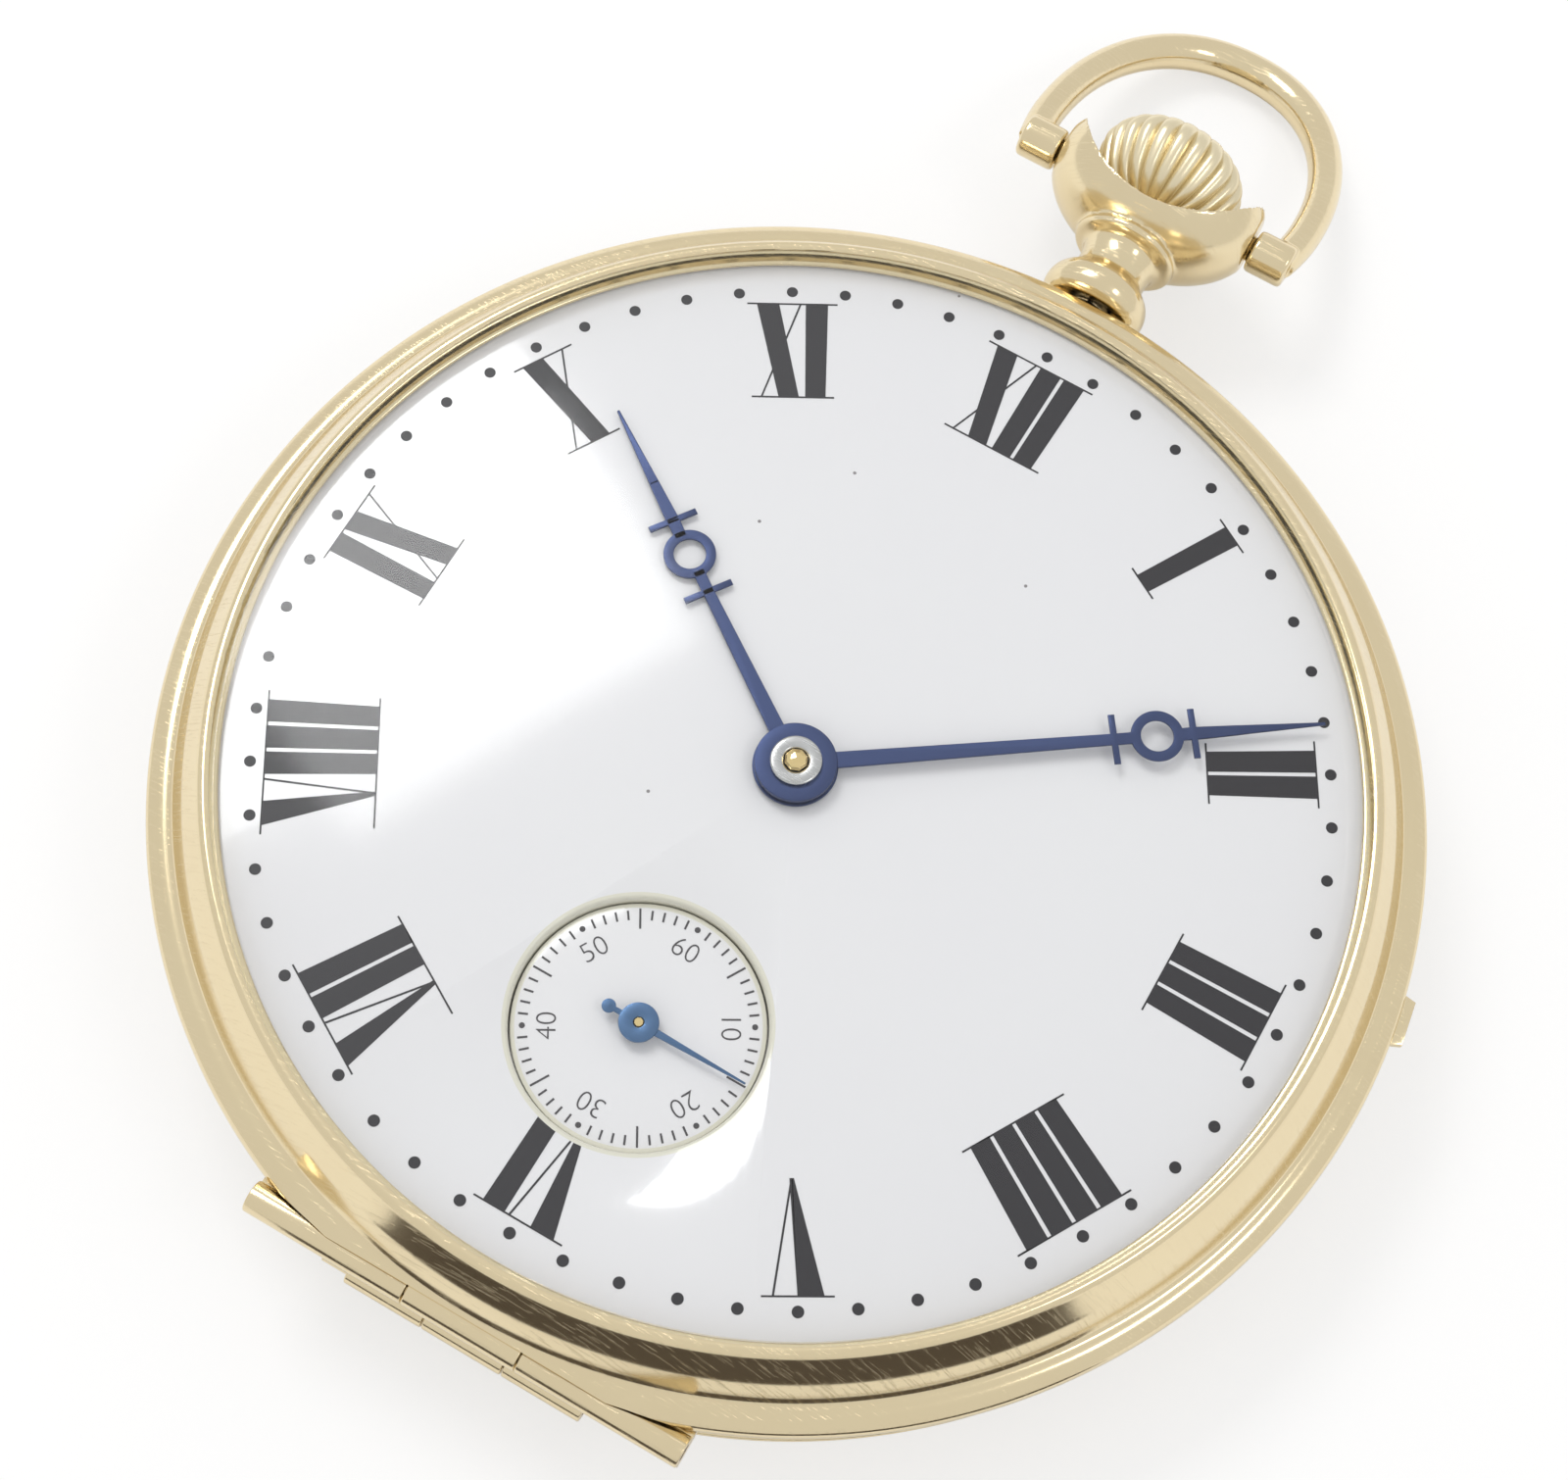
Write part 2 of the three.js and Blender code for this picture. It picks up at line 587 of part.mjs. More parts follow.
function makePendantSleeve() {
  const [low, high] = SLEEVE_SPAN_Y;
  const tube = cut(
    rodAlongY(SLEEVE_R, [low, high], PENDANT_Z, MEDIUM),
    rodAlongY(SLEEVE_BORE_R, [low - 1, high + 1], PENDANT_Z, MEDIUM),
  );
  const slotLength = 2.2;
  const slotSpan = [low - 1, low + slotLength];
  const slots = [
    block([-2, 2], slotSpan, [PENDANT_Z - 0.1, PENDANT_Z + 0.1]),
    block([-0.1, 0.1], slotSpan, [PENDANT_Z - 2, PENDANT_Z + 2]),
  ];
  return cut(tube, ...slots);
}

// The bow's centre line in its own plane: x across, s out from the pivots.
function bowCentreLine() {
  const power = 2 / BOW_SQUARENESS;
  const legSteps = 3;
  const archSteps = 18;
  const points = [];
  for (let i = 0; i < legSteps; i += 1) {
    const share = i / legSteps;
    const x = BOW_FOOT_X + (BOW_HALF_WIDTH - BOW_FOOT_X) * (1 - (1 - share) ** 2);
    points.push([-x, BOW_SPRING_LINE * share]);
  }
  for (let i = 0; i <= archSteps; i += 1) {
    const t = -Math.PI / 2 + (Math.PI * i) / archSteps;
    const across = Math.sign(Math.sin(t)) * Math.abs(Math.sin(t)) ** power;
    const out = Math.max(Math.cos(t), 0) ** power;
    points.push([BOW_HALF_WIDTH * across, BOW_SPRING_LINE + (BOW_REACH - BOW_SPRING_LINE) * out]);
  }
  for (let i = legSteps - 1; i >= 0; i -= 1) points.push([-points[i][0], points[i][1]]);
  return points;
}

function makeBow() {
  const line = bowCentreLine().map(([x, s]) => new THREE.Vector3(x, s, 0));
  const path = new THREE.CatmullRomCurve3(line, false, "centripetal");
  const section = new THREE.Shape();
  section.absarc(0, 0, BOW_WIRE_R, 0, 2 * Math.PI);
  const options = { steps: 26, curveSegments: 4, extrudePath: path, bevelEnabled: false };
  const wire = toSolid(new THREE.ExtrudeGeometry(section, options));
  const shoulders = bothSides(
    (span) => rodAlongX(BOW_SHOULDER_R, span, 0, 0),
    BALL_FLAT_X + 0.12,
    BOW_FOOT_X + 0.45,
  );
  const inner = BALL_FLAT_X - BOW_PIVOT_DEPTH;
  const pivots = bothSides((span) => rodAlongX(BOW_PIVOT_R, span, 0, 0), inner, BOW_FOOT_X);
  return unite(wire, shoulders, pivots);
}

// The bow lies back until its apex is just above the resting plane.
const bowTilt = -Math.asin((PENDANT_Z - BOW_WIRE_R - BOW_APEX_LIFT) / BOW_REACH);

function makeCrown() {
  const profile = [
    [0, CROWN_BASE_Y],
    [1.2, CROWN_BASE_Y + 0.12],
    [2.3, CROWN_BASE_Y + 0.8],
    [CROWN_R - 0.1, CROWN_BASE_Y + 1.9],
    [CROWN_R, CROWN_TOP_Y - 1.15],
    [CROWN_R - 0.45, CROWN_TOP_Y - 0.5],
    [1.6, CROWN_TOP_Y - 0.12],
    [0, CROWN_TOP_Y],
  ];
  const points = profile.map(([r, y]) => new THREE.Vector2(r, y));
  const body = new THREE.LatheGeometry(points, CROWN_FLUTES * 2);
  const positions = body.getAttribute("position");
  for (let i = 0; i < positions.count; i += 1) {
    const [x, z] = [positions.getX(i), positions.getZ(i)];
    const r = Math.hypot(x, z);
    const step = Math.round((Math.atan2(z, x) / Math.PI) * CROWN_FLUTES);
    if (step % 2 !== 0 && r > 1.7) {
      const share = (r - CROWN_FLUTE_DEPTH) / r;
      positions.setX(i, x * share);
      positions.setZ(i, z * share);
    }
  }
  const placed = toSolid(body.translate(0, 0, PENDANT_Z));
  const socketR = STEM_R + RUNNING_CLEARANCE;
  return cut(placed, rodAlongY(socketR, [CROWN_BASE_Y - 1, STEM_TOP_Y + 0.1], PENDANT_Z, MEDIUM));
}

function makeStem() {
  const groove = 0.1;
  const round = turnedAlongY(
    [
      [0, STEM_SQUARE_TOP_Y],
      [STEM_R, STEM_SQUARE_TOP_Y],
      [STEM_R, 22.2],
      [STEM_R - groove, 22.4],
      [STEM_R - groove, 22.8],
      [STEM_R, 23.0],
      [STEM_R - groove, 23.2],
      [STEM_R - groove, 23.6],
      [STEM_R, 23.8],
      [STEM_R, STEM_TOP_Y],
      [0, STEM_TOP_Y],
    ],
    PENDANT_Z,
    MEDIUM,
  );
  const half = STEM_SQUARE_HALF;
  const square = block(
    [-half, half],
    [STEM_BOTTOM_Y, STEM_SQUARE_TOP_Y + 0.1],
    [PENDANT_Z - half, PENDANT_Z + half],
  );
  return unite(round, square);
}

// ---------- winding work ----------

const WINDING_PINION_R = 2.05;
const WINDING_PINION_Y = [15.3, 16.4];
const WINDING_ARBOR_Y = [13.6, 18.9];
const WINDING_ARBOR_R = 0.85;
const crownRatchetGap = distance(CROWN_WHEEL, BARREL);
const crownWheelR = pitchRadius(CROWN_WHEEL_TEETH, RATCHET_TEETH, crownRatchetGap);
const ratchetR = pitchRadius(RATCHET_TEETH, CROWN_WHEEL_TEETH, crownRatchetGap);
const crownWheelPhase = Math.PI / 2 + Math.PI / CROWN_WHEEL_TEETH;

function makeWindingPinion() {
  const leafZ = [0, WINDING_PINION_Y[1] - WINDING_PINION_Y[0]];
  const pitchR = WINDING_PINION_R / (1 + (0.22 * 2 * Math.PI) / WINDING_PINION_TEETH);
  const leaves = pinionBlank(WINDING_PINION_TEETH, pitchR, leafZ, CENTRE, Math.PI / 2);
  const placed = transformed(leaves, (geometry) =>
    geometry.rotateX(-Math.PI / 2).translate(0, WINDING_PINION_Y[0], PENDANT_Z),
  );
  const shaft = rodAlongY(WINDING_ARBOR_R, WINDING_ARBOR_Y, PENDANT_Z);
  const half = STEM_SQUARE_HALF + RUNNING_CLEARANCE;
  const socket = block(
    [-half, half],
    [STEM_BOTTOM_Y - 0.3, WINDING_ARBOR_Y[1] + 1],
    [PENDANT_Z - half, PENDANT_Z + half],
  );
  return cut(unite(placed, shaft), socket);
}

function makeCrownWheel() {
  const teeth = wheelBlank(
    CROWN_WHEEL_TEETH,
    crownWheelR,
    WINDING_WHEELS_Z,
    CROWN_WHEEL,
    crownWheelPhase,
  );
  return cut(teeth, disc(0.9, [1, 5], CROWN_WHEEL, SMALL));
}

function makeRatchetWheel() {
  const direction = angleTo(CROWN_WHEEL, BARREL);
  const pitch = (2 * Math.PI) / CROWN_WHEEL_TEETH;
  const turns = Math.round((direction - crownWheelPhase) / pitch);
  const offset = crownWheelPhase + turns * pitch - direction;
  const gap = direction + Math.PI - (offset * CROWN_WHEEL_TEETH) / RATCHET_TEETH;
  const phase = gap + Math.PI / RATCHET_TEETH;
  const teeth = wheelBlank(RATCHET_TEETH, ratchetR, WINDING_WHEELS_Z, BARREL, phase);
  return cut(teeth, disc(BARREL_ARBOR_R + RUNNING_CLEARANCE, [1, 5], BARREL, MEDIUM));
}

function makeBarrelArbor() {
  const hub = disc(1.3, [BARREL_Z[0] + 0.25, BARREL_Z[1] - 0.2], BARREL, MEDIUM);
  const shaft = disc(BARREL_ARBOR_R, [WINDING_WHEELS_Z[0], BARREL_Z[1] + 0.15], BARREL, MEDIUM);
  const pivot = disc(BARREL_ARBOR_R - 0.2, [BARREL_Z[1], PLATE_TOP_Z - 0.4], BARREL, MEDIUM);
  return unite(hub, shaft, pivot);
}

function makeClick() {
  const reach = ratchetR + 0.34;
  const beakAngle = angleTo(BARREL, CLICK) + radians(24);
  const beak = polar(reach, beakAngle, ...BARREL);
  const lever = slab(
    [polar(0.6, beakAngle, ...CLICK), beak, polar(0.7, beakAngle + Math.PI / 2, ...CLICK)],
    WINDING_WHEELS_Z,
  );
  return cut(
    unite(lever, disc(0.75, WINDING_WHEELS_Z, CLICK, SMALL)),
    disc(0.3, [1, 5], CLICK, SMALL),
  );
}

// ---------- plates and bridges ----------

const TRAIN_PIVOTS = { centre: CENTRE, third: THIRD, fourth: FOURTH, escape: ESCAPE };
const BARREL_BRIDGE_FEET = [[-6.0, 15.5], [-13.0, 9.5], [16.1, 7.0]];
const TRAIN_BRIDGE_FEET = [[12.5, -9.5], [-7.4, -15.9], [6.5, -16.0]];
const COCK_FOOT = [-14.9, -9.3];
const CASE_SCREWS = [[18.2, 0.6], [-18.2, -0.6]];
const SCREW_HEAD_R = 0.85;
const SCREW_SHANK_R = 0.4;
const SCREW_HEAD_DEPTH = 0.4;

function makeMainPlate() {
  const body = disc(PLATE_R, [PLATE_BOTTOM_Z, PLATE_TOP_Z], CENTRE, SMOOTH);
  const rimZ = [PLATE_TOP_Z - 0.1, DIAL_TOP_Z - DIAL_THICKNESS - 0.03];
  const rim = ring(PLATE_R, PLATE_R - PLATE_RIM_WIDTH, rimZ, CENTRE, SMOOTH);
  const channel = rodAlongY(PENDANT_BORE_R, [WINDING_ARBOR_Y[0] - 0.2, PLATE_R + 1], PENDANT_Z);
  const windowHalf = WINDING_PINION_R + 0.15;
  const pinionWindow = block(
    [-windowHalf, windowHalf],
    [WINDING_PINION_Y[0] - 0.15, WINDING_PINION_Y[1] + 0.15],
    [PLATE_BOTTOM_Z - 1, DIAL_TOP_Z],
  );
  const through = [PLATE_BOTTOM_Z - 1, DIAL_TOP_Z];
  const holes = [
    disc(0.5, through, CENTRE, SMALL),
    disc(0.3, through, THIRD, SMALL),
    disc(0.3, through, FOURTH, SMALL),
    disc(0.3, through, ESCAPE, SMALL),
    disc(0.3, through, PALLET, SMALL),
    disc(0.3, through, BALANCE, SMALL),
    disc(BARREL_ARBOR_R - 0.2 + RUNNING_CLEARANCE, through, BARREL, MEDIUM),
  ];
  const feet = DIAL_FOOT_BEARINGS.map((bearing) =>
    disc(DIAL_FOOT_R + 0.1, through, polar(DIAL_FOOT_CIRCLE_R, fromBearing(bearing)), SMALL),
  );
  const screws = [...BARREL_BRIDGE_FEET, ...TRAIN_BRIDGE_FEET, COCK_FOOT, ...CASE_SCREWS].map(
    (place) => disc(SCREW_SHANK_R + RUNNING_CLEARANCE, [4, PLATE_TOP_Z - 0.5], place, SMALL),
  );
  const minutePost = disc(0.25, [PLATE_TOP_Z - 0.1, PLATE_TOP_Z + 0.42], MINUTE_WHEEL, SMALL);
  return unite(cut(unite(body, rim), channel, pinionWindow, ...holes, ...feet, ...screws), minutePost);
}

const footPost = (place, r, topZ) => disc(r, [topZ, PLATE_BOTTOM_Z - FOOT_GAP], place, MEDIUM);
const screwHole = (place) => [
  disc(SCREW_SHANK_R + RUNNING_CLEARANCE, [1, PLATE_BOTTOM_Z], place, SMALL),
  disc(SCREW_HEAD_R + RUNNING_CLEARANCE, [1, BRIDGE_OUTER_Z + SCREW_HEAD_DEPTH], place, MEDIUM),
];

function makeBarrelBridge() {
  const outline = disc(BRIDGE_R, [BRIDGE_OUTER_Z, BRIDGE_INNER_Z], CENTRE, SMOOTH);
  const region = slab([[-20, 8.4], [-5.8, 3.7], [20, -4.9], [20, 20], [-20, 20]], [1, 5]);
  const pocketZ = [1, WINDING_WHEELS_Z[1] + 0.1];
  const crownPocket = disc(crownWheelR + 0.4, pocketZ, CROWN_WHEEL);
  const ratchetPocket = disc(ratchetR + 0.35, pocketZ, BARREL);
  const clickPocket = common(
    disc(3.3, pocketZ, polar(-1.3, angleTo(BARREL, CLICK), ...CLICK), MEDIUM),
    disc(BRIDGE_R - 0.6, [0, 6], CENTRE, SMOOTH),
  );
  const pinionSlot = block([-1.5, 1.5], [WINDING_PINION_Y[0] - 0.3, 20], [1, 5]);
  const stemRelief = rodAlongY(WINDING_PINION_R + 0.2, [WINDING_PINION_Y[0] - 0.3, 20], PENDANT_Z, MEDIUM);
  const posts = BARREL_BRIDGE_FEET.map((place) => footPost(place, BRIDGE_FOOT_R, BRIDGE_INNER_Z - 0.1));
  const crownPost = disc(0.8, [WINDING_WHEELS_Z[0], BRIDGE_INNER_Z - 0.1], CROWN_WHEEL, SMALL);
  const clickPost = disc(0.22, [WINDING_WHEELS_Z[0], BRIDGE_INNER_Z - 0.1], CLICK, SMALL);
  const body = cut(
    common(outline, region),
    crownPocket,
    ratchetPocket,
    clickPocket,
    pinionSlot,
    stemRelief,
    disc(BARREL_ARBOR_R + RUNNING_CLEARANCE, [1, 5], BARREL, MEDIUM),
  );
  return cut(
    unite(body, ...posts, crownPost, clickPost),
    ...BARREL_BRIDGE_FEET.flatMap(screwHole),
  );
}

function makeTrainBridge() {
  const outline = disc(BRIDGE_R, [BRIDGE_OUTER_Z, BRIDGE_INNER_Z], CENTRE, SMOOTH);
  const region = slab([[-4.2, 2.8], [-4.6, -8.6], [-11, -14.2], [-11, -20], [20, -20], [20, -5.3]], [1, 5]);
  const posts = TRAIN_BRIDGE_FEET.map((place) => footPost(place, BRIDGE_FOOT_R, BRIDGE_INNER_Z - 0.1));
  const jewelHoles = Object.values(TRAIN_PIVOTS).flatMap((place) => [
    disc(JEWEL_R + RUNNING_CLEARANCE, [1, BRIDGE_OUTER_Z + 0.55], place, MEDIUM),
    disc(0.45, [1, 5], place, SMALL),
  ]);
  return cut(
    unite(common(outline, region), ...posts),
    ...jewelHoles,
    ...TRAIN_BRIDGE_FEET.flatMap(screwHole),
  );
}

function makeBalanceCock() {
  const levels = [COCK_OUTER_Z, COCK_INNER_Z];
  const arm = bar(COCK_FOOT, BALANCE, [3.4, 2.6], levels);
  const heel = disc(1.7, levels, COCK_FOOT, MEDIUM);
  const head = disc(1.55, levels, BALANCE, MEDIUM);
  const post = disc(0.95, [COCK_INNER_Z - 0.1, PLATE_BOTTOM_Z - FOOT_GAP], COCK_FOOT, MEDIUM);
  const jewelHole = disc(JEWEL_R + RUNNING_CLEARANCE, [1, COCK_OUTER_Z + 0.4], BALANCE, MEDIUM);
  const pivotHole = disc(0.3, [1, 4], BALANCE, SMALL);
  const screw = [
    disc(SCREW_SHANK_R + RUNNING_CLEARANCE, [1, PLATE_BOTTOM_Z], COCK_FOOT, SMALL),
    disc(SCREW_HEAD_R + RUNNING_CLEARANCE, [1, COCK_OUTER_Z + 0.3], COCK_FOOT, MEDIUM),
  ];
  const outerWall = disc(BRIDGE_R, [0, 9], CENTRE, SMOOTH);
  return cut(common(unite(arm, heel, head, post), outerWall), jewelHole, pivotHole, ...screw);
}

function makePalletCock() {
  const side = BALANCE_LINE + Math.PI / 2;
  const foot = polar(3.0, side, ...PALLET);
  const levels = [3.85, 4.2];
  const body = unite(
    bar(foot, PALLET, 1.2, levels),
    disc(0.65, levels, PALLET, SMALL),
    disc(0.75, [levels[0], PLATE_BOTTOM_Z - FOOT_GAP], foot, SMALL),
  );
  return cut(body, disc(PIVOT_R + RUNNING_CLEARANCE, [3, 4.4], PALLET, SMALL));
}

function makeScrew(place, headTopZ, headDepth, endZ, headR = SCREW_HEAD_R) {
  const head = disc(headR, [headTopZ, headTopZ + headDepth], place, SMALL);
  const shank = disc(SCREW_SHANK_R, [headTopZ + headDepth - 0.05, endZ], place, SMALL);
  const slot = block(
    [place[0] - headR - 0.1, place[0] + headR + 0.1],
    [place[1] - 0.09, place[1] + 0.09],
    [headTopZ - 0.1, headTopZ + 0.15],
  );
  return cut(unite(head, shank), slot);
}

const makeJewel = (place, [low, high]) => ring(JEWEL_R, JEWEL_HOLE_R, [low, high], place, SMALL);

function makeRegulator() {
  const levels = [COCK_OUTER_Z - 0.25, COCK_OUTER_Z - 0.05];
  const away = angleTo(COCK_FOOT, BALANCE) + Math.PI;
  const start = polar(1.2, away, ...BALANCE);
  const end = polar(4.6, away, ...BALANCE);
  return unite(ring(1.45, 0.95, levels, BALANCE, MEDIUM), bar(start, end, [0.6, 0.2], levels));
}

// ---------- going train ----------

function makeBarrel() {
  const [low, high] = BARREL_Z;
  const cup = turned(
    [
      [BARREL_ARBOR_R + RUNNING_CLEARANCE, low],
      [BARREL_DRUM_R, low],
      [BARREL_DRUM_R, high],
      [BARREL_DRUM_R - BARREL_WALL, high],
      [BARREL_DRUM_R - BARREL_WALL, low + 0.2],
      [BARREL_ARBOR_R + RUNNING_CLEARANCE, low + 0.2],
    ],
    ROUND,
  );
  const pitchR = pitchRadius(BARREL_TEETH, CENTRE_PINION_TEETH, distance(BARREL, CENTRE));
  const teeth = cut(
    wheelBlank(BARREL_TEETH, pitchR, BARREL_TEETH_Z, BARREL, angleTo(BARREL, CENTRE)),
    disc(BARREL_DRUM_R - BARREL_WALL, [1, 6], BARREL),
  );
  return unite(moved(cup, ...BARREL), teeth);
}

const makeBarrelCap = () =>
  ring(
    BARREL_DRUM_R - BARREL_WALL - RUNNING_CLEARANCE,
    BARREL_ARBOR_R + RUNNING_CLEARANCE,
    [BARREL_Z[1] - 0.15, BARREL_Z[1]],
    BARREL,
  );

const makeMainspring = () =>
  spiral([1.6, 6.7], 4, 0.16, [BARREL_Z[0] + 0.28, BARREL_Z[1] - 0.22], BARREL);

function makeWheelAndPinion({ place, wheel, wheelZ, pinion, pinionZ, shaft, shaftZ, pivotZ }) {
  const mate = wheel.towards;
  const wheelR = pitchRadius(wheel.teeth, wheel.mateTeeth, distance(place, mate));
  const pinionR = pitchRadius(pinion.teeth, pinion.mateTeeth, distance(place, pinion.towards));
  return unite(
    wheelBlank(wheel.teeth, wheelR, wheelZ, place, angleTo(place, mate)),
    pinionBlank(pinion.teeth, pinionR, pinionZ, place, gapTowards(pinion.teeth, place, pinion.towards)),
    arbor(shaft, shaftZ, pivotZ, place),
  );
}

function makeCentreWheel() {
  const train = makeWheelAndPinion({
    place: CENTRE,
    wheel: { teeth: CENTRE_TEETH, mateTeeth: THIRD_PINION_TEETH, towards: THIRD },
    wheelZ: CENTRE_WHEEL_Z,
    pinion: { teeth: CENTRE_PINION_TEETH, mateTeeth: BARREL_TEETH, towards: BARREL },
    pinionZ: [4.25, 4.82],
    shaft: 0.4,
    shaftZ: [3.45, 8.62],
    pivotZ: [2.55, 3.5],
  });
  const pipZ = 8.6;
  const pip = turned([[0, pipZ], [0.4, pipZ], [0.34, 8.74], [0.2, 8.83], [0, 8.86]], SMALL);
  return unite(train, pip);
}

const makeThirdWheel = () =>
  makeWheelAndPinion({
    place: THIRD,
    wheel: { teeth: THIRD_TEETH, mateTeeth: FOURTH_PINION_TEETH, towards: FOURTH },
    wheelZ: THIRD_WHEEL_Z,
    pinion: { teeth: THIRD_PINION_TEETH, mateTeeth: CENTRE_TEETH, towards: CENTRE },
    pinionZ: [3.42, 3.95],
    shaft: 0.28,
    shaftZ: [3.42, 4.82],
    pivotZ: [2.55, 5.7],
  });

const makeFourthWheel = () =>
  makeWheelAndPinion({
    place: FOURTH,
    wheel: { teeth: FOURTH_TEETH, mateTeeth: ESCAPE_PINION_TEETH, towards: ESCAPE },
    wheelZ: FOURTH_WHEEL_Z,
    pinion: { teeth: FOURTH_PINION_TEETH, mateTeeth: THIRD_TEETH, towards: THIRD },
    pinionZ: [4.4, 4.82],
    shaft: 0.26,
    shaftZ: [3.42, 4.82],
    pivotZ: [2.55, SECONDS_HAND_Z[1] + 0.08],
  });

function makeEscapeWheel() {
  const points = [];
  const pitch = (2 * Math.PI) / ESCAPE_TEETH;
  const start = BALANCE_LINE + radians(32) + pitch / 2;
  for (let i = 0; i < ESCAPE_TEETH; i += 1) {
    const angle = start + i * pitch;
    points.push(polar(2.25, angle - 0.42 * pitch, ...ESCAPE));
    points.push(polar(ESCAPE_TIP_R, angle - 0.08 * pitch, ...ESCAPE));
    points.push(polar(ESCAPE_TIP_R, angle + 0.06 * pitch, ...ESCAPE));
    points.push(polar(2.25, angle + 0.12 * pitch, ...ESCAPE));
  }
  const pinionR = pitchRadius(ESCAPE_PINION_TEETH, FOURTH_TEETH, distance(ESCAPE, FOURTH));
  const leaves = pinionBlank(
    ESCAPE_PINION_TEETH,
    pinionR,
    [3.8, 4.35],
    ESCAPE,
    gapTowards(ESCAPE_PINION_TEETH, ESCAPE, FOURTH),
  );
  return unite(slab(points, ESCAPE_WHEEL_Z), leaves, arbor(0.22, [3.42, 4.82], [2.55, 5.7], ESCAPE));
}

// The lever: local u runs from the escape wheel to the balance, local v across it.
function makePalletFork() {
  const place = (u, v) => {
    const along = polar(u, BALANCE_LINE, ...PALLET);
    return polar(v, BALANCE_LINE + Math.PI / 2, ...along);
  };
  const forkReach = distance(PALLET, BALANCE) - ROLLER_R - 0.1;
  const stoneR = 3.42;
  const stoneAngle = radians(32);
  const pieces = [
    bar(place(0, 0), place(forkReach - 0.9, 0), [0.6, 0.36], ESCAPE_WHEEL_Z),
    disc(0.5, ESCAPE_WHEEL_Z, PALLET, SMALL),
    arbor(0.22, [4.3, 4.82], [3.9, 5.6], PALLET),
  ];
  for (const side of [-1, 1]) {
    const u = stoneR * Math.cos(stoneAngle) - ESCAPE_TO_PALLET;
    const v = side * stoneR * Math.sin(stoneAngle);
    pieces.push(bar(place(0, 0), place(-0.45, side * 2.05), 0.4, ESCAPE_WHEEL_Z));
    const out = polar(0.38, BALANCE_LINE + side * stoneAngle, ...place(u, v));
    const tip = polar(-0.28, BALANCE_LINE + side * stoneAngle, ...place(u, v));
    pieces.push(bar(out, tip, 0.3, ESCAPE_WHEEL_Z));
    pieces.push(bar(place(forkReach - 1.0, 0), place(forkReach, side * 0.34), 0.22, ESCAPE_WHEEL_Z));
  }
  return unite(...pieces);
}

function makeBalanceWheel() {
  const rim = ring(BALANCE_R, BALANCE_R - BALANCE_RIM_WIDTH, BALANCE_RIM_Z, BALANCE);
  const inner = BALANCE_R - BALANCE_RIM_WIDTH / 2;
  const armZ = [3.45, 3.6];
  const armEnds = [0, Math.PI].map((angle) => polar(inner, angle + 0.6, ...BALANCE));
  const arm = bar(...armEnds, 0.7, armZ);
  const screws = [];
  for (let i = 0; i < BALANCE_SCREWS; i += 1) {
    const angle = 0.6 + ((i + 0.5) * 2 * Math.PI) / BALANCE_SCREWS;
    const from = polar(BALANCE_R - 0.1, angle, ...BALANCE);
    const to = polar(BALANCE_R + 0.28, angle, ...BALANCE);
    screws.push(bar(from, to, 0.36, [3.4, 3.7]));
  }
  const staff = unite(
    disc(0.3, [3.2, 4.2], BALANCE, SMALL),
    disc(PIVOT_R, [2.55, 5.6], BALANCE, SMALL),
    disc(0.6, armZ, BALANCE, SMALL),
  );
  const roller = disc(ROLLER_R, ROLLER_Z, BALANCE, MEDIUM);
  const pinPlace = polar(0.68, BALANCE_LINE + Math.PI, ...BALANCE);
  const impulsePin = disc(0.12, [ROLLER_Z[0], ROLLER_Z[1] + 0.09], pinPlace, 8);
  return unite(rim, arm, ...screws, staff, roller, impulsePin);
}

function makeHairspring() {
  const collet = ring(0.5, PIVOT_R + RUNNING_CLEARANCE, [2.92, 3.18], BALANCE, SMALL);
  const coil = spiral([0.45, 3.3], HAIRSPRING_TURNS, 0.06, HAIRSPRING_Z, BALANCE);
  return unite(collet, coil);
}

// ---------- dial, motion work and hands ----------

function makeDial() {
  const [low, high] = [DIAL_TOP_Z - DIAL_THICKNESS, DIAL_TOP_Z];
  const edge = 0.12;
  const body = turned(
    [[0, low], [DIAL_R, low], [DIAL_R, high - edge], [DIAL_R - edge, high], [0, high]],
    SMOOTH,
  );
  const feet = DIAL_FOOT_BEARINGS.map((bearing) => {
    const place = polar(DIAL_FOOT_CIRCLE_R, fromBearing(bearing));
    return disc(DIAL_FOOT_R, [low - DIAL_FOOT_LENGTH, low + 0.1], place, SMALL);
  });
  return cut(
    unite(body, ...feet),
    disc(DIAL_CENTRE_HOLE_R, [0, 12], CENTRE, MEDIUM),
    disc(SECONDS_DIAL_R, [0, 12], FOURTH),
  );
}

function makeSecondsDial() {
  const top = DIAL_TOP_Z - SECONDS_DIAL_SINK;
  return ring(SECONDS_DIAL_R - 0.06, 0.3, [top - SECONDS_DIAL_THICKNESS, top], FOURTH);
}

const motionGap = distance(CENTRE, MINUTE_WHEEL);
const minuteLevels = [PLATE_TOP_Z + 0.05, PLATE_TOP_Z + 0.2];
const hourLevels = [PLATE_TOP_Z + 0.27, PLATE_TOP_Z + 0.43];

function makeCannonPinion() {
  const r = pitchRadius(CANNON_TEETH, MINUTE_WHEEL_TEETH, motionGap);
  const leaves = pinionBlank(CANNON_TEETH, r, minuteLevels, CENTRE, angleTo(CENTRE, MINUTE_WHEEL));
  const pipe = disc(MINUTE_HAND.bore - 0.03, [minuteLevels[0], MINUTE_HAND_Z[1] + 0.05], CENTRE, SMALL);
  return cut(unite(leaves, pipe), disc(0.44, [0, 12], CENTRE, MEDIUM));
}

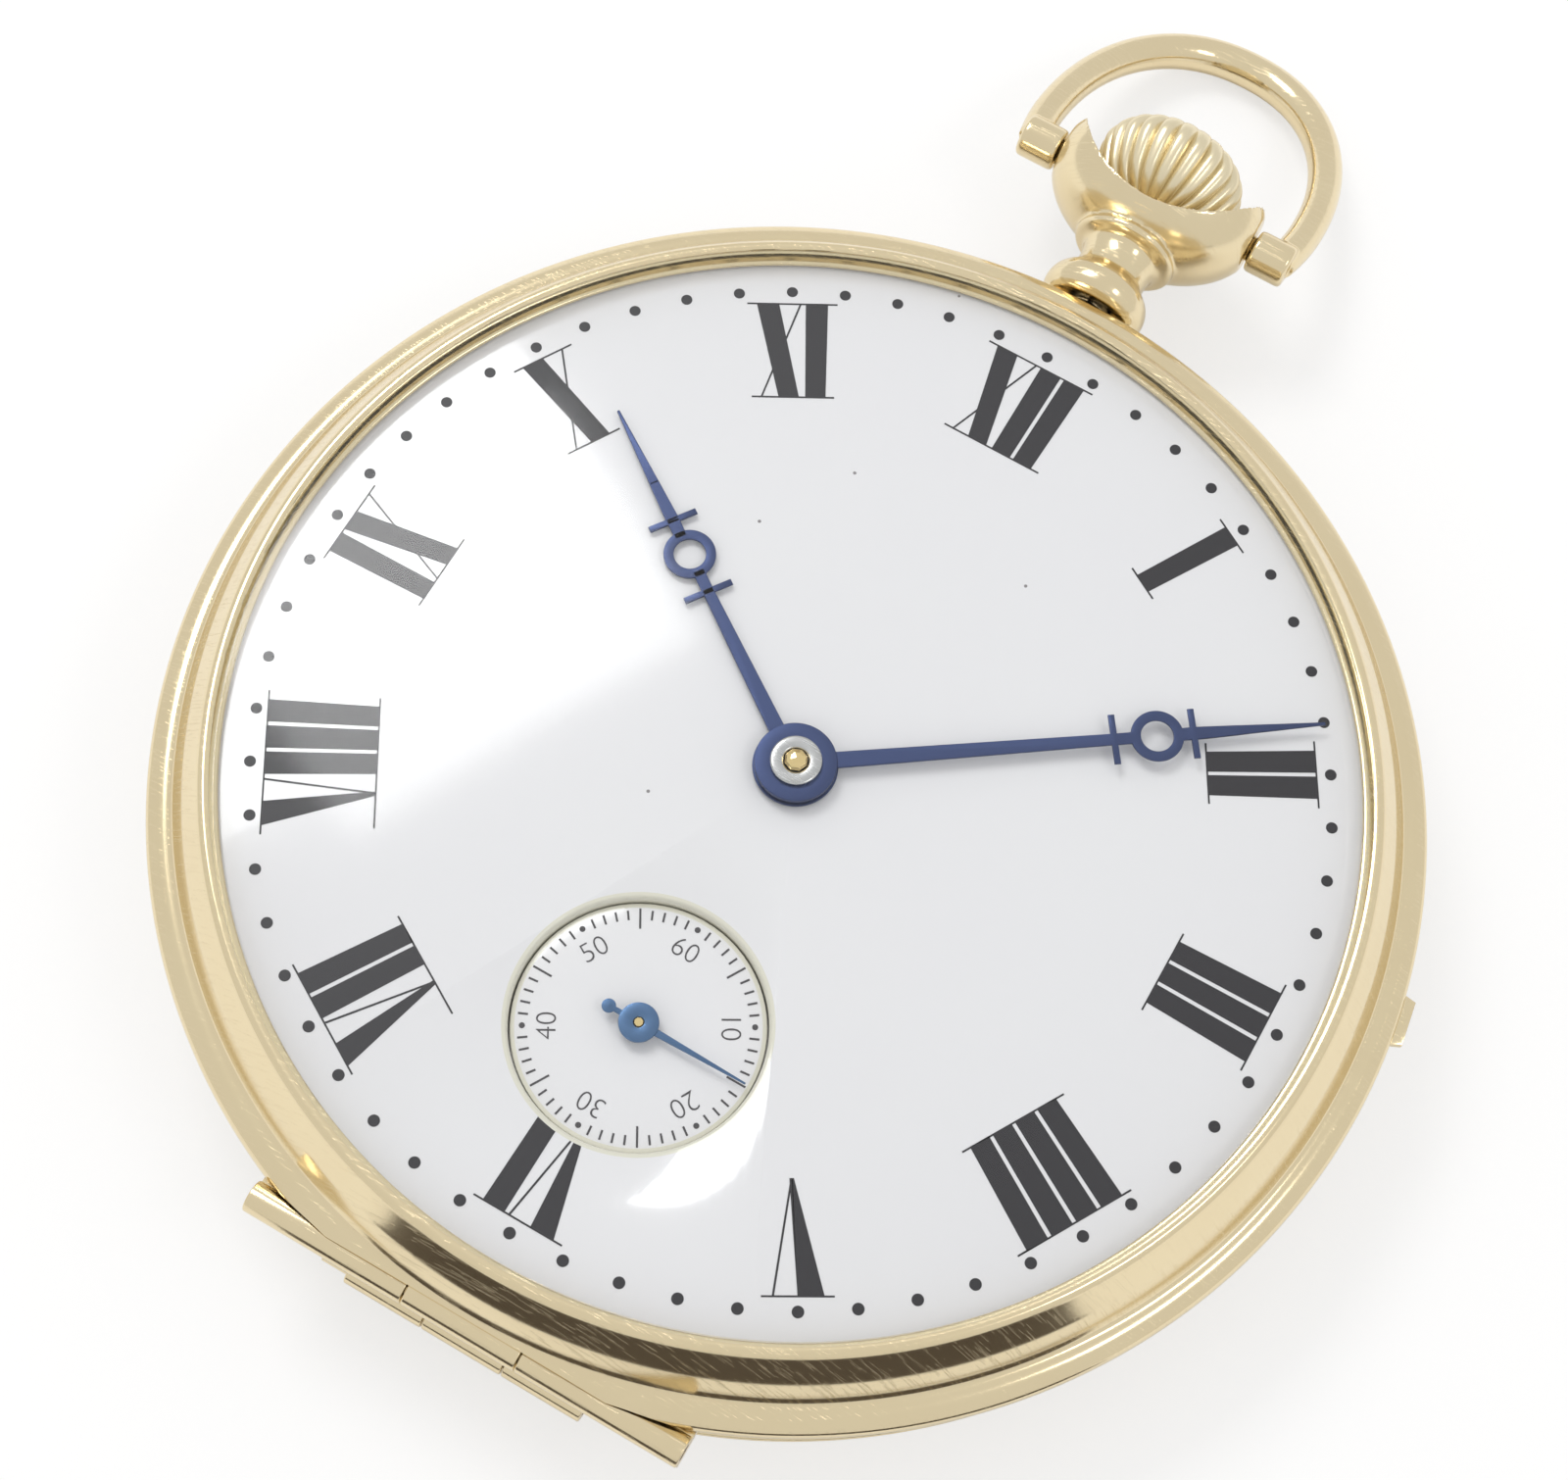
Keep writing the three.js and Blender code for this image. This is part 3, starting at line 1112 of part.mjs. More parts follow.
function makeMinuteWheel() {
  const wheelR = pitchRadius(MINUTE_WHEEL_TEETH, CANNON_TEETH, motionGap);
  const pinionR = pitchRadius(MINUTE_PINION_TEETH, HOUR_WHEEL_TEETH, motionGap);
  const towards = angleTo(MINUTE_WHEEL, CENTRE);
  return cut(
    unite(
      wheelBlank(
        MINUTE_WHEEL_TEETH,
        wheelR,
        minuteLevels,
        MINUTE_WHEEL,
        towards + Math.PI / MINUTE_WHEEL_TEETH,
      ),
      pinionBlank(
        MINUTE_PINION_TEETH,
        pinionR,
        [minuteLevels[0], hourLevels[1]],
        MINUTE_WHEEL,
        towards,
      ),
    ),
    disc(0.25 + RUNNING_CLEARANCE, [0, 12], MINUTE_WHEEL, SMALL),
  );
}

function makeHourWheel() {
  const r = pitchRadius(HOUR_WHEEL_TEETH, MINUTE_PINION_TEETH, motionGap);
  const phase = gapTowards(HOUR_WHEEL_TEETH, CENTRE, MINUTE_WHEEL);
  const wheel = wheelBlank(HOUR_WHEEL_TEETH, r, hourLevels, CENTRE, phase);
  const pipe = disc(HOUR_HAND.bore - 0.03, [hourLevels[0], HOUR_HAND_Z[1] + 0.03], CENTRE, SMALL);
  return cut(unite(wheel, pipe), disc(MINUTE_HAND.bore + 0.04, [0, 12], CENTRE, SMALL));
}

// A hand with a pierced ring between two cross bars and a long fine point.
function makeHand({ tip, ring: ringAt, bars, bore, hub }, levels) {
  const at = (r) => [0, r];
  const pieces = [
    disc(hub, levels, CENTRE, 16),
    bar(at(0), at(bars[0]), [0.62, 0.44], levels),
    bar(at(bars[0] - 0.05), at(ringAt - HAND_RING_HOLE_R - 0.1), [0.44, 0.4], levels),
    ring(HAND_RING_R, HAND_RING_HOLE_R, levels, at(ringAt), 14),
    bar(at(ringAt + HAND_RING_HOLE_R + 0.1), at(bars[1] + 0.05), [0.4, 0.5], levels),
    bar(at(bars[1]), at(tip), [0.62, 0.08], levels),
  ];
  for (const place of bars) {
    pieces.push(bar([-HAND_BAR_HALF, place], [HAND_BAR_HALF, place], 0.2, levels));
  }
  return cut(unite(...pieces), disc(bore, [0, 12], CENTRE, MEDIUM));
}

function makeMinuteHand() {
  const hand = makeHand(MINUTE_HAND, MINUTE_HAND_Z);
  const top = MINUTE_HAND_Z[1];
  const boss = turned(
    [
      [0.43, top + 0.08],
      [0.9, top + 0.08],
      [0.8, top + 0.28],
      [0.43, top + 0.28],
    ],
    MEDIUM,
  );
  const collar = ring(MINUTE_HAND.hub, 0.62, [top - 0.02, top + 0.1], CENTRE, 16);
  return unite(hand, collar, boss);
}

const makeHourHand = () => makeHand(HOUR_HAND, HOUR_HAND_Z);

function makeSecondsHand() {
  const at = (r) => [0, r];
  const hubR = 0.67;
  return unite(
    ring(hubR, PIVOT_R + 0.03, [SECONDS_HAND_Z[0], SECONDS_HAND_Z[1] + 0.05], CENTRE, MEDIUM),
    bar(at(0.4), at(SECONDS_HAND_LENGTH), [0.3, 0.06], SECONDS_HAND_Z),
    bar(at(-0.4), at(-SECONDS_HAND_TAIL), [0.2, 0.14], SECONDS_HAND_Z),
    disc(0.22, SECONDS_HAND_Z, at(-SECONDS_HAND_TAIL), SMALL),
  );
}

// ---------- assembly ----------

const watch = new THREE.Group();
watch.name = "pocket_watch";

// Each part is [name, solid, its own material, its placement].
function addGroup(name, material, parts) {
  const group = new THREE.Group();
  group.name = name;
  for (const [partName, solid, ownMaterial, placement = {}] of parts) {
    const mesh = new THREE.Mesh(toGeometry(solid), (ownMaterial ?? material).clone());
    mesh.name = partName;
    mesh.position.set(...(placement.position ?? [0, 0, 0]));
    mesh.rotation.set(...(placement.rotation ?? [0, 0, 0]));
    group.add(mesh);
  }
  watch.add(group);
}

addGroup("case", GOLD, [
  ["case_body", makeCaseBody()],
  ["bezel", makeBezel()],
  ["crystal", makeCrystal(), GLASS],
  ["back_cover", makeBackCover()],
  ["bezel_hinge_pin", makeHingePin(BEZEL_HINGE_LENGTH, alongBezelHinge)],
  ["back_hinge_pin", makeHingePin(BACK_HINGE_LENGTH, alongBackHinge)],
]);

addGroup("pendant_group", GOLD, [
  ["pendant", makePendant()],
  ["bow", makeBow(), GOLD, { position: [0, BOW_PIVOT_Y, PENDANT_Z], rotation: [bowTilt, 0, 0] }],
  ["crown", makeCrown()],
  ["pendant_sleeve", makePendantSleeve(), STEEL],
  ["winding_stem", makeStem(), STEEL],
]);

addGroup("winding_work", STEEL, [
  ["winding_pinion", makeWindingPinion()],
  ["crown_wheel", makeCrownWheel()],
  ["crown_wheel_screw", makeScrew(CROWN_WHEEL, 2.05, 0.38, 2.46, 1.3), BLUED_STEEL],
  ["ratchet_wheel", makeRatchetWheel()],
  ["barrel_arbor", makeBarrelArbor()],
  ["ratchet_screw", makeScrew(BARREL, 2.05, 0.38, 2.46, 1.4), BLUED_STEEL],
  ["click", makeClick()],
]);

addGroup("plates", NICKEL, [
  ["main_plate", makeMainPlate()],
  ["barrel_bridge", makeBarrelBridge()],
  ["train_bridge", makeTrainBridge()],
  ["balance_cock", makeBalanceCock()],
  ["pallet_cock", makePalletCock()],
  ["regulator", makeRegulator(), STEEL],
]);

const bridgeScrew = (name) => (place, i) => [
  `${name}_screw_${i + 1}`,
  makeScrew(place, BRIDGE_OUTER_Z, SCREW_HEAD_DEPTH - 0.05, PLATE_TOP_Z - 0.6),
];
addGroup("screws", BLUED_STEEL, [
  ...BARREL_BRIDGE_FEET.map(bridgeScrew("barrel_bridge")),
  ...TRAIN_BRIDGE_FEET.map(bridgeScrew("train_bridge")),
  ["balance_cock_screw", makeScrew(COCK_FOOT, COCK_OUTER_Z, 0.25, PLATE_TOP_Z - 0.6)],
  ...CASE_SCREWS.map((place, i) => [
    `case_screw_${i + 1}`,
    makeScrew(place, 3.6, 0.5, PLATE_TOP_Z - 0.6, 1.15),
  ]),
]);

const jewelZ = [BRIDGE_OUTER_Z + 0.1, BRIDGE_OUTER_Z + 0.5];
addGroup("jewels", RUBY, [
  ...Object.entries(TRAIN_PIVOTS).map(([name, place]) => [`${name}_jewel`, makeJewel(place, jewelZ)]),
  ["balance_jewel", makeJewel(BALANCE, [COCK_OUTER_Z + 0.05, COCK_OUTER_Z + 0.35])],
]);

addGroup("going_train", BRASS, [
  ["barrel", makeBarrel()],
  ["barrel_cap", makeBarrelCap()],
  ["mainspring", makeMainspring(), BLUED_STEEL],
  ["centre_wheel", makeCentreWheel()],
  ["third_wheel", makeThirdWheel()],
  ["fourth_wheel", makeFourthWheel()],
  ["escape_wheel", makeEscapeWheel(), STEEL],
  ["pallet_fork", makePalletFork(), STEEL],
  ["balance_wheel", makeBalanceWheel()],
  ["hairspring", makeHairspring(), BLUED_STEEL],
]);

addGroup("dial_and_hands", BLUED_STEEL, [
  ["dial", makeDial(), ENAMEL],
  ["seconds_dial", makeSecondsDial(), ENAMEL],
  ["cannon_pinion", makeCannonPinion(), STEEL],
  ["minute_wheel", makeMinuteWheel(), BRASS],
  ["hour_wheel", makeHourWheel(), BRASS],
  ["hour_hand", makeHourHand(), BLUED_STEEL, { rotation: [0, 0, -radians(HOUR_HAND_BEARING)] }],
  ["minute_hand", makeMinuteHand(), BLUED_STEEL, { rotation: [0, 0, -radians(MINUTE_HAND_BEARING)] }],
  [
    "seconds_hand",
    makeSecondsHand(),
    BLUED_STEEL,
    { position: [...FOURTH, 0], rotation: [0, 0, -radians(SECONDS_HAND_BEARING)] },
  ],
]);

export default watch;
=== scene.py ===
"""Open face pocket watch: the looks of its case, dial, hands and movement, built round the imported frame."""

import logging
import math
from collections.abc import Callable, Iterable, Sequence
from dataclasses import dataclass, field
from enum import Enum
from typing import Any

import bmesh
import bpy
from mathutils import Matrix, Vector


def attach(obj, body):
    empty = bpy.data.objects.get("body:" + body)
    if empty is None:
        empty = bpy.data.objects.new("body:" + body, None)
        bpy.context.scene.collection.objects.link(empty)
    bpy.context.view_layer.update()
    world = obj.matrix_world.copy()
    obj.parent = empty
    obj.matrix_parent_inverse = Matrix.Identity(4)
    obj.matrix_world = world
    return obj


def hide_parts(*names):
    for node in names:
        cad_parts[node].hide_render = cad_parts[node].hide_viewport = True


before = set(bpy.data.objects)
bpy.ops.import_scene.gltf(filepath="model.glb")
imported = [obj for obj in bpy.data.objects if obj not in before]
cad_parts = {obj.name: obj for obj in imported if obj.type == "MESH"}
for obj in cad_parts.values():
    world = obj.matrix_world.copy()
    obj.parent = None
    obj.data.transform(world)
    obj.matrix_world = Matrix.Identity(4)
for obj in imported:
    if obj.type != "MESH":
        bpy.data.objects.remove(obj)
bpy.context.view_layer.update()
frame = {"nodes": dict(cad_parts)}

log = logging.getLogger("pocket_watch")

MM = 0.001
FULL_TURN = 2 * math.pi

Point = tuple[float, float]
Colour = tuple[float, float, float, float]


class Axis(Enum):
    """The direction a round piece lies along."""

    X = Matrix.Rotation(math.pi / 2, 4, "Y")
    Y = Matrix.Rotation(-math.pi / 2, 4, "X")
    Z = Matrix.Identity(4)


class Blend(Enum):
    """The way one solid works on another."""

    UNITE = "UNION"
    CUT = "DIFFERENCE"


# ---------- shader building ----------


@dataclass(frozen=True)
class Wire:
    """A node output that takes part in Python arithmetic."""

    tree: "ShaderTree"
    socket: bpy.types.NodeSocket

    def _math(self, operation: str, *values: "Wire | float") -> "Wire":
        """One Math node on the values."""
        return self.tree.node("ShaderNodeMath", {"operation": operation}, dict(enumerate(values)))

    def __add__(self, other: "Wire | float") -> "Wire":
        """The sum."""
        return self._math("ADD", self, other)

    def __radd__(self, other: float) -> "Wire":
        """The sum, with the number first."""
        return self._math("ADD", other, self)

    def __sub__(self, other: "Wire | float") -> "Wire":
        """The difference."""
        return self._math("SUBTRACT", self, other)

    def __rsub__(self, other: float) -> "Wire":
        """The difference, with the number first."""
        return self._math("SUBTRACT", other, self)

    def __mul__(self, other: "Wire | float") -> "Wire":
        """The product."""
        return self._math("MULTIPLY", self, other)

    def __rmul__(self, other: float) -> "Wire":
        """The product, with the number first."""
        return self._math("MULTIPLY", other, self)

    def __gt__(self, other: "Wire | float") -> "Wire":
        """1 where this is the greater, else 0."""
        return self._math("GREATER_THAN", self, other)

    def __lt__(self, other: "Wire | float") -> "Wire":
        """1 where this is the lesser, else 0."""
        return self._math("LESS_THAN", self, other)

    def __abs__(self) -> "Wire":
        """The size without the sign."""
        return self._math("ABSOLUTE", self)


class ShaderTree:
    """The node tree of one material or world."""

    def __init__(self, tree: bpy.types.NodeTree) -> None:
        """Starts from an empty tree.

        Args:
            tree: The node tree to fill.
        """
        self.tree = tree
        tree.nodes.clear()

    def node(
        self,
        kind: str,
        settings: dict[str, Any] | None = None,
        inputs: dict[int | str, Any] | None = None,
        output: int | str = 0,
    ) -> Wire:
        """Adds a node.

        Args:
            kind: The node's type.
            settings: Its own settings, set first; "stops" fills a colour ramp.
            inputs: Socket to number, colour or Wire.
            output: The output to hand back.

        Returns:
            The chosen output.
        """
        made = self.tree.nodes.new(kind)
        for name, value in (settings or {}).items():
            if name == "stops":
                self._fill_ramp(made.color_ramp, value)
            else:
                setattr(made, name, value)
        for key, value in (inputs or {}).items():
            if isinstance(value, Wire):
                self.tree.links.new(value.socket, made.inputs[key])
            else:
                made.inputs[key].default_value = value
        return Wire(self, made.outputs[output] if made.outputs else None)

    @staticmethod
    def _fill_ramp(ramp: bpy.types.ColorRamp, stops: Sequence[tuple[float, Colour]]) -> None:
        """Sets a ramp's stops.

        Args:
            ramp: The ramp.
            stops: Place and colour of each stop, in order.
        """
        for _ in range(len(stops) - len(ramp.elements)):
            ramp.elements.new(1.0)
        for element, (place, colour) in zip(ramp.elements, stops):
            element.position = place
            element.color = colour

    def position(self, scale: Sequence[float] = (1, 1, 1), turn: float = 0.0) -> Wire:
        """The place on the object in millimetres, stretched and turned about Z.

        Args:
            scale: Stretch along each axis.
            turn: Turn about Z in radians.

        Returns:
            The vector.
        """
        place = self.node("ShaderNodeTexCoord", output="Object")
        per_mm = [s / MM for s in scale]
        return self.node(
            "ShaderNodeMapping", {}, {"Vector": place, "Rotation": (0, 0, turn), "Scale": per_mm}
        )

    def noise(self, vector: Wire, scale: float, detail: float = 2.0) -> Wire:
        """A noise value from 0 to 1.

        Args:
            vector: Where to read it.
            scale: Features per unit.
            detail: Octaves.

        Returns:
            The value.
        """
        inputs = {"Vector": vector, "Scale": scale, "Detail": detail}
        return self.node("ShaderNodeTexNoise", {}, inputs)

    def between(self, low: Wire | Colour, high: Wire | Colour, share: Wire | float) -> Wire:
        """A colour between two.

        Args:
            low: Colour at share 0.
            high: Colour at share 1.
            share: The share.

        Returns:
            The mixed colour.
        """
        inputs = {0: share, 6: low, 7: high}
        return self.node("ShaderNodeMix", {"data_type": "RGBA"}, inputs, output=2)

    def distance(self, vector: Wire, centre: Point) -> Wire:
        """Distance in plan from a point, in millimetres.

        Args:
            vector: The place.
            centre: The point.

        Returns:
            The distance.
        """
        flat = self.node("ShaderNodeVectorMath", {"operation": "MULTIPLY"}, {0: vector, 1: (1, 1, 0)})
        return self.node(
            "ShaderNodeVectorMath", {"operation": "DISTANCE"}, {0: flat, 1: (*centre, 0)}, output=1
        )

    def bump(self, height: Wire, strength: float, depth: float) -> Wire:
        """A normal that follows a height.

        Args:
            height: The height, 0 to 1.
            strength: Share of the effect.
            depth: Height of 1, in millimetres.

        Returns:
            The normal.
        """
        inputs = {"Height": height, "Strength": strength, "Distance": depth * MM}
        return self.node("ShaderNodeBump", {}, inputs)

    def surface(self, shader: Wire, target: str = "ShaderNodeOutputMaterial") -> None:
        """Ends the tree with its output.

        Args:
            shader: The shader to show.
            target: The output node's type.
        """
        self.node(target, {}, {"Surface": shader})


# ---------- finishes ----------


@dataclass(frozen=True)
class Finish:
    """A plain finish of one colour; the base of the others."""

    name: str
    colour: Colour
    metallic: float = 0.0
    roughness: float = 0.3
    coat: float = 0.0

    def sockets(self, tree: ShaderTree) -> dict[str, Any]:
        """Values or links of the shader's own sockets.

        Args:
            tree: The tree to add nodes to.

        Returns:
            Socket name to value.
        """
        return {
            "Base Color": self.colour,
            "Metallic": self.metallic,
            "Roughness": self.roughness,
            "Coat Weight": self.coat,
        }

    def material(self) -> bpy.types.Material:
        """The Blender material, made once.

        Returns:
            The material.
        """
        found = bpy.data.materials.get(self.name)
        if found:
            return found
        made = bpy.data.materials.new(self.name)
        made.use_nodes = True
        made.diffuse_color = self.colour
        tree = ShaderTree(made.node_tree)
        self.fill(tree)
        return made

    def fill(self, tree: ShaderTree) -> None:
        """Fills the material's tree.

        Args:
            tree: The empty tree.
        """
        tree.surface(tree.node("ShaderNodeBsdfPrincipled", {}, self.sockets(tree)))


@dataclass(frozen=True)
class HandledMetal(Finish):
    """Polished metal with fine handling scratches and a faint bloom."""

    tint: Colour = (0.6, 0.45, 0.24, 1)
    tint_share: float = 0.25
    scratch: float = 0.35

    def sockets(self, tree: ShaderTree) -> dict[str, Any]:
        """Colour, roughness and scratches."""
        place = tree.position()
        cloud = tree.noise(place, 0.35, 3.0)
        fine = tree.noise(place, 7.0, 2.0)
        hairs = [
            tree.noise(tree.position((0.6, 16, 0.6), turn), 1.0, 1.0)
            for turn in (0.5, 1.9, 2.7)
        ]
        marks = (hairs[0] > 0.66) + (hairs[1] > 0.67) + (hairs[2] > 0.68)
        height = 0.35 * fine + 0.2 * cloud - 0.5 * marks
        return {
            "Base Color": tree.between(self.colour, self.tint, self.tint_share * cloud),
            "Metallic": self.metallic,
            "Roughness": self.roughness + 0.06 * cloud + 0.05 * marks,
            "Normal": tree.bump(height, self.scratch, 0.006),
        }


@dataclass(frozen=True)
class DialEnamel(Finish):
    """White fired enamel with a cream-toned ring of painted shade on the sunk step of the seconds well, and a few
    dark specks.
    """

    # colour, centre and span of the painted shade: a darker cream ring on the sunk step round the seconds well
    rim_colour: Colour = (0.72, 0.69, 0.54, 1)
    rim_centre: Point = (0.0, -10.25)
    rim_span: Point = (4.05, 4.45)

    def sockets(self, tree: ShaderTree) -> dict[str, Any]:
        """Colour with the painted step shade and the specks."""
        place = tree.position()
        away = tree.distance(place, self.rim_centre)
        # painted shade: a darker cream ring over the sunk step of the seconds well, where shade falls
        rim = (away > self.rim_span[0]) * (away < self.rim_span[1])
        cells = {"Vector": place, "Scale": 0.55}
        near = tree.node("ShaderNodeTexVoronoi", {}, cells)
        pick = tree.node("ShaderNodeTexVoronoi", {}, cells, output="Color")
        chance = tree.node("ShaderNodeSeparateColor", {}, {0: pick})
        speck = (near < 0.035) * (chance > 0.86)
        shade = tree.noise(place, 0.12, 2.0)
        soft = tree.between(self.colour, (0.74, 0.71, 0.76, 1), 0.25 * shade)
        step_shaded = tree.between(soft, self.rim_colour, 0.75 * rim)
        return {
            "Base Color": tree.between(step_shaded, (0.08, 0.06, 0.06, 1), 0.75 * speck),
            "Roughness": self.roughness,
            "Coat Weight": self.coat,
            "Normal": tree.bump(tree.noise(place, 1.6, 2.0), 0.1, 0.004),
        }


@dataclass(frozen=True)
class StripedPlate(Finish):
    """Nickel plate with fine parallel stripes across it."""

    stripe: float = 0.55

    def sockets(self, tree: ShaderTree) -> dict[str, Any]:
        """Stripes in colour and normal."""
        inputs = {"Vector": tree.position((1, 1, 1), 0.6), "Scale": self.stripe}
        wave = tree.node("ShaderNodeTexWave", {"wave_profile": "SAW"}, inputs, output=1)
        return {
            "Base Color": tree.between(self.colour, (0.42, 0.41, 0.39, 1), 0.5 * wave),
            "Metallic": self.metallic,
            "Roughness": self.roughness,
            "Normal": tree.bump(wave, 0.4, 0.02),
        }


@dataclass(frozen=True)
class ClearCrystal(Finish):
    """Clear watch glass: see-through, with the gloss of glass on the face that is looked at."""

    index: float = 1.38

    def fill(self, tree: ShaderTree) -> None:
        """A see-through shader with a Fresnel gloss, none of it on the way out of the glass."""
        gloss = tree.node("ShaderNodeBsdfGlossy", {}, {"Color": (1, 1, 1, 1), "Roughness": self.roughness})
        clear = tree.node("ShaderNodeBsdfTransparent", {}, {"Color": self.colour})
        share = tree.node("ShaderNodeFresnel", {}, {"IOR": self.index})
        leaving = tree.node("ShaderNodeNewGeometry", output="Backfacing")
        tree.surface(tree.node("ShaderNodeMixShader", {}, {0: share * (1 - leaving), 1: clear, 2: gloss}))


GOLD = HandledMetal("polished_gold", (0.83, 0.71, 0.47, 1), 1.0, 0.13, tint=(0.66, 0.5, 0.28, 1))
WORN_GOLD = HandledMetal("worn_gold", (0.7, 0.56, 0.33, 1), 1.0, 0.24, tint_share=0.5, scratch=0.6)
CRYSTAL = ClearCrystal("crystal_glass", (0.985, 0.99, 0.99, 1), roughness=0.1)
DIAL_WHITE = DialEnamel("white_enamel", (0.81, 0.8, 0.81, 1), roughness=0.12, coat=0.5)
INK = Finish("black_enamel", (0.012, 0.01, 0.014, 1), roughness=0.4)
FINE_INK = Finish("grey_enamel", (0.06, 0.055, 0.06, 1), roughness=0.3)
BLUED = HandledMetal("blued_steel", (0.004, 0.006, 0.022, 1), 0.9, 0.22, tint=(0.006, 0.012, 0.05, 1))
PALE_BLUED = HandledMetal("pale_blued_steel", (0.09, 0.17, 0.31, 1), 0.8, 0.25, tint=(0.05, 0.09, 0.18, 1))
STEEL = HandledMetal("polished_steel", (0.56, 0.56, 0.56, 1), 1.0, 0.2, tint=(0.4, 0.39, 0.37, 1))
BRASS = HandledMetal("train_brass", (0.72, 0.5, 0.2, 1), 1.0, 0.25)
NICKEL = StripedPlate("striped_nickel", (0.62, 0.6, 0.56, 1), 1.0, 0.3)
RUBY = Finish("ruby", (0.45, 0.01, 0.05, 1), roughness=0.08, coat=1.0)


# ---------- modelling ----------


def polar(radius: float, bearing: float, centre: Point = (0.0, 0.0)) -> Point:
    """The plan point at a clock bearing.

    Args:
        radius: Distance from the centre.
        bearing: Degrees clockwise from 12 o'clock.
        centre: The centre.

    Returns:
        The point.
    """
    angle = math.radians(90 - bearing)
    return centre[0] + radius * math.cos(angle), centre[1] + radius * math.sin(angle)


def softened(profile: Sequence[Point], radius: float, closed: bool = True, steps: int = 4) -> list[Point]:
    """A profile with its corners rounded.

    Args:
        profile: Corner points.
        radius: How far along each side a corner's round may start.
        closed: Whether the last point joins the first; else both ends stay.
        steps: Points per round.

    Returns:
        The rounded profile.
    """
    count = len(profile)
    made: list[Point] = []
    for i, corner in enumerate(profile):
        if not closed and i in (0, count - 1):
            made.append(corner)
            continue
        here = Vector(corner)
        sides = [Vector(profile[(i + step) % count]) - here for step in (-1, 1)]
        starts = [here + side.normalized() * min(radius, side.length * 0.45) for side in sides]
        for k in range(steps + 1):
            t = k / steps
            place = starts[0] * (1 - t) ** 2 + here * 2 * t * (1 - t) + starts[1] * t * t
            made.append((place.x, place.y))
    return made


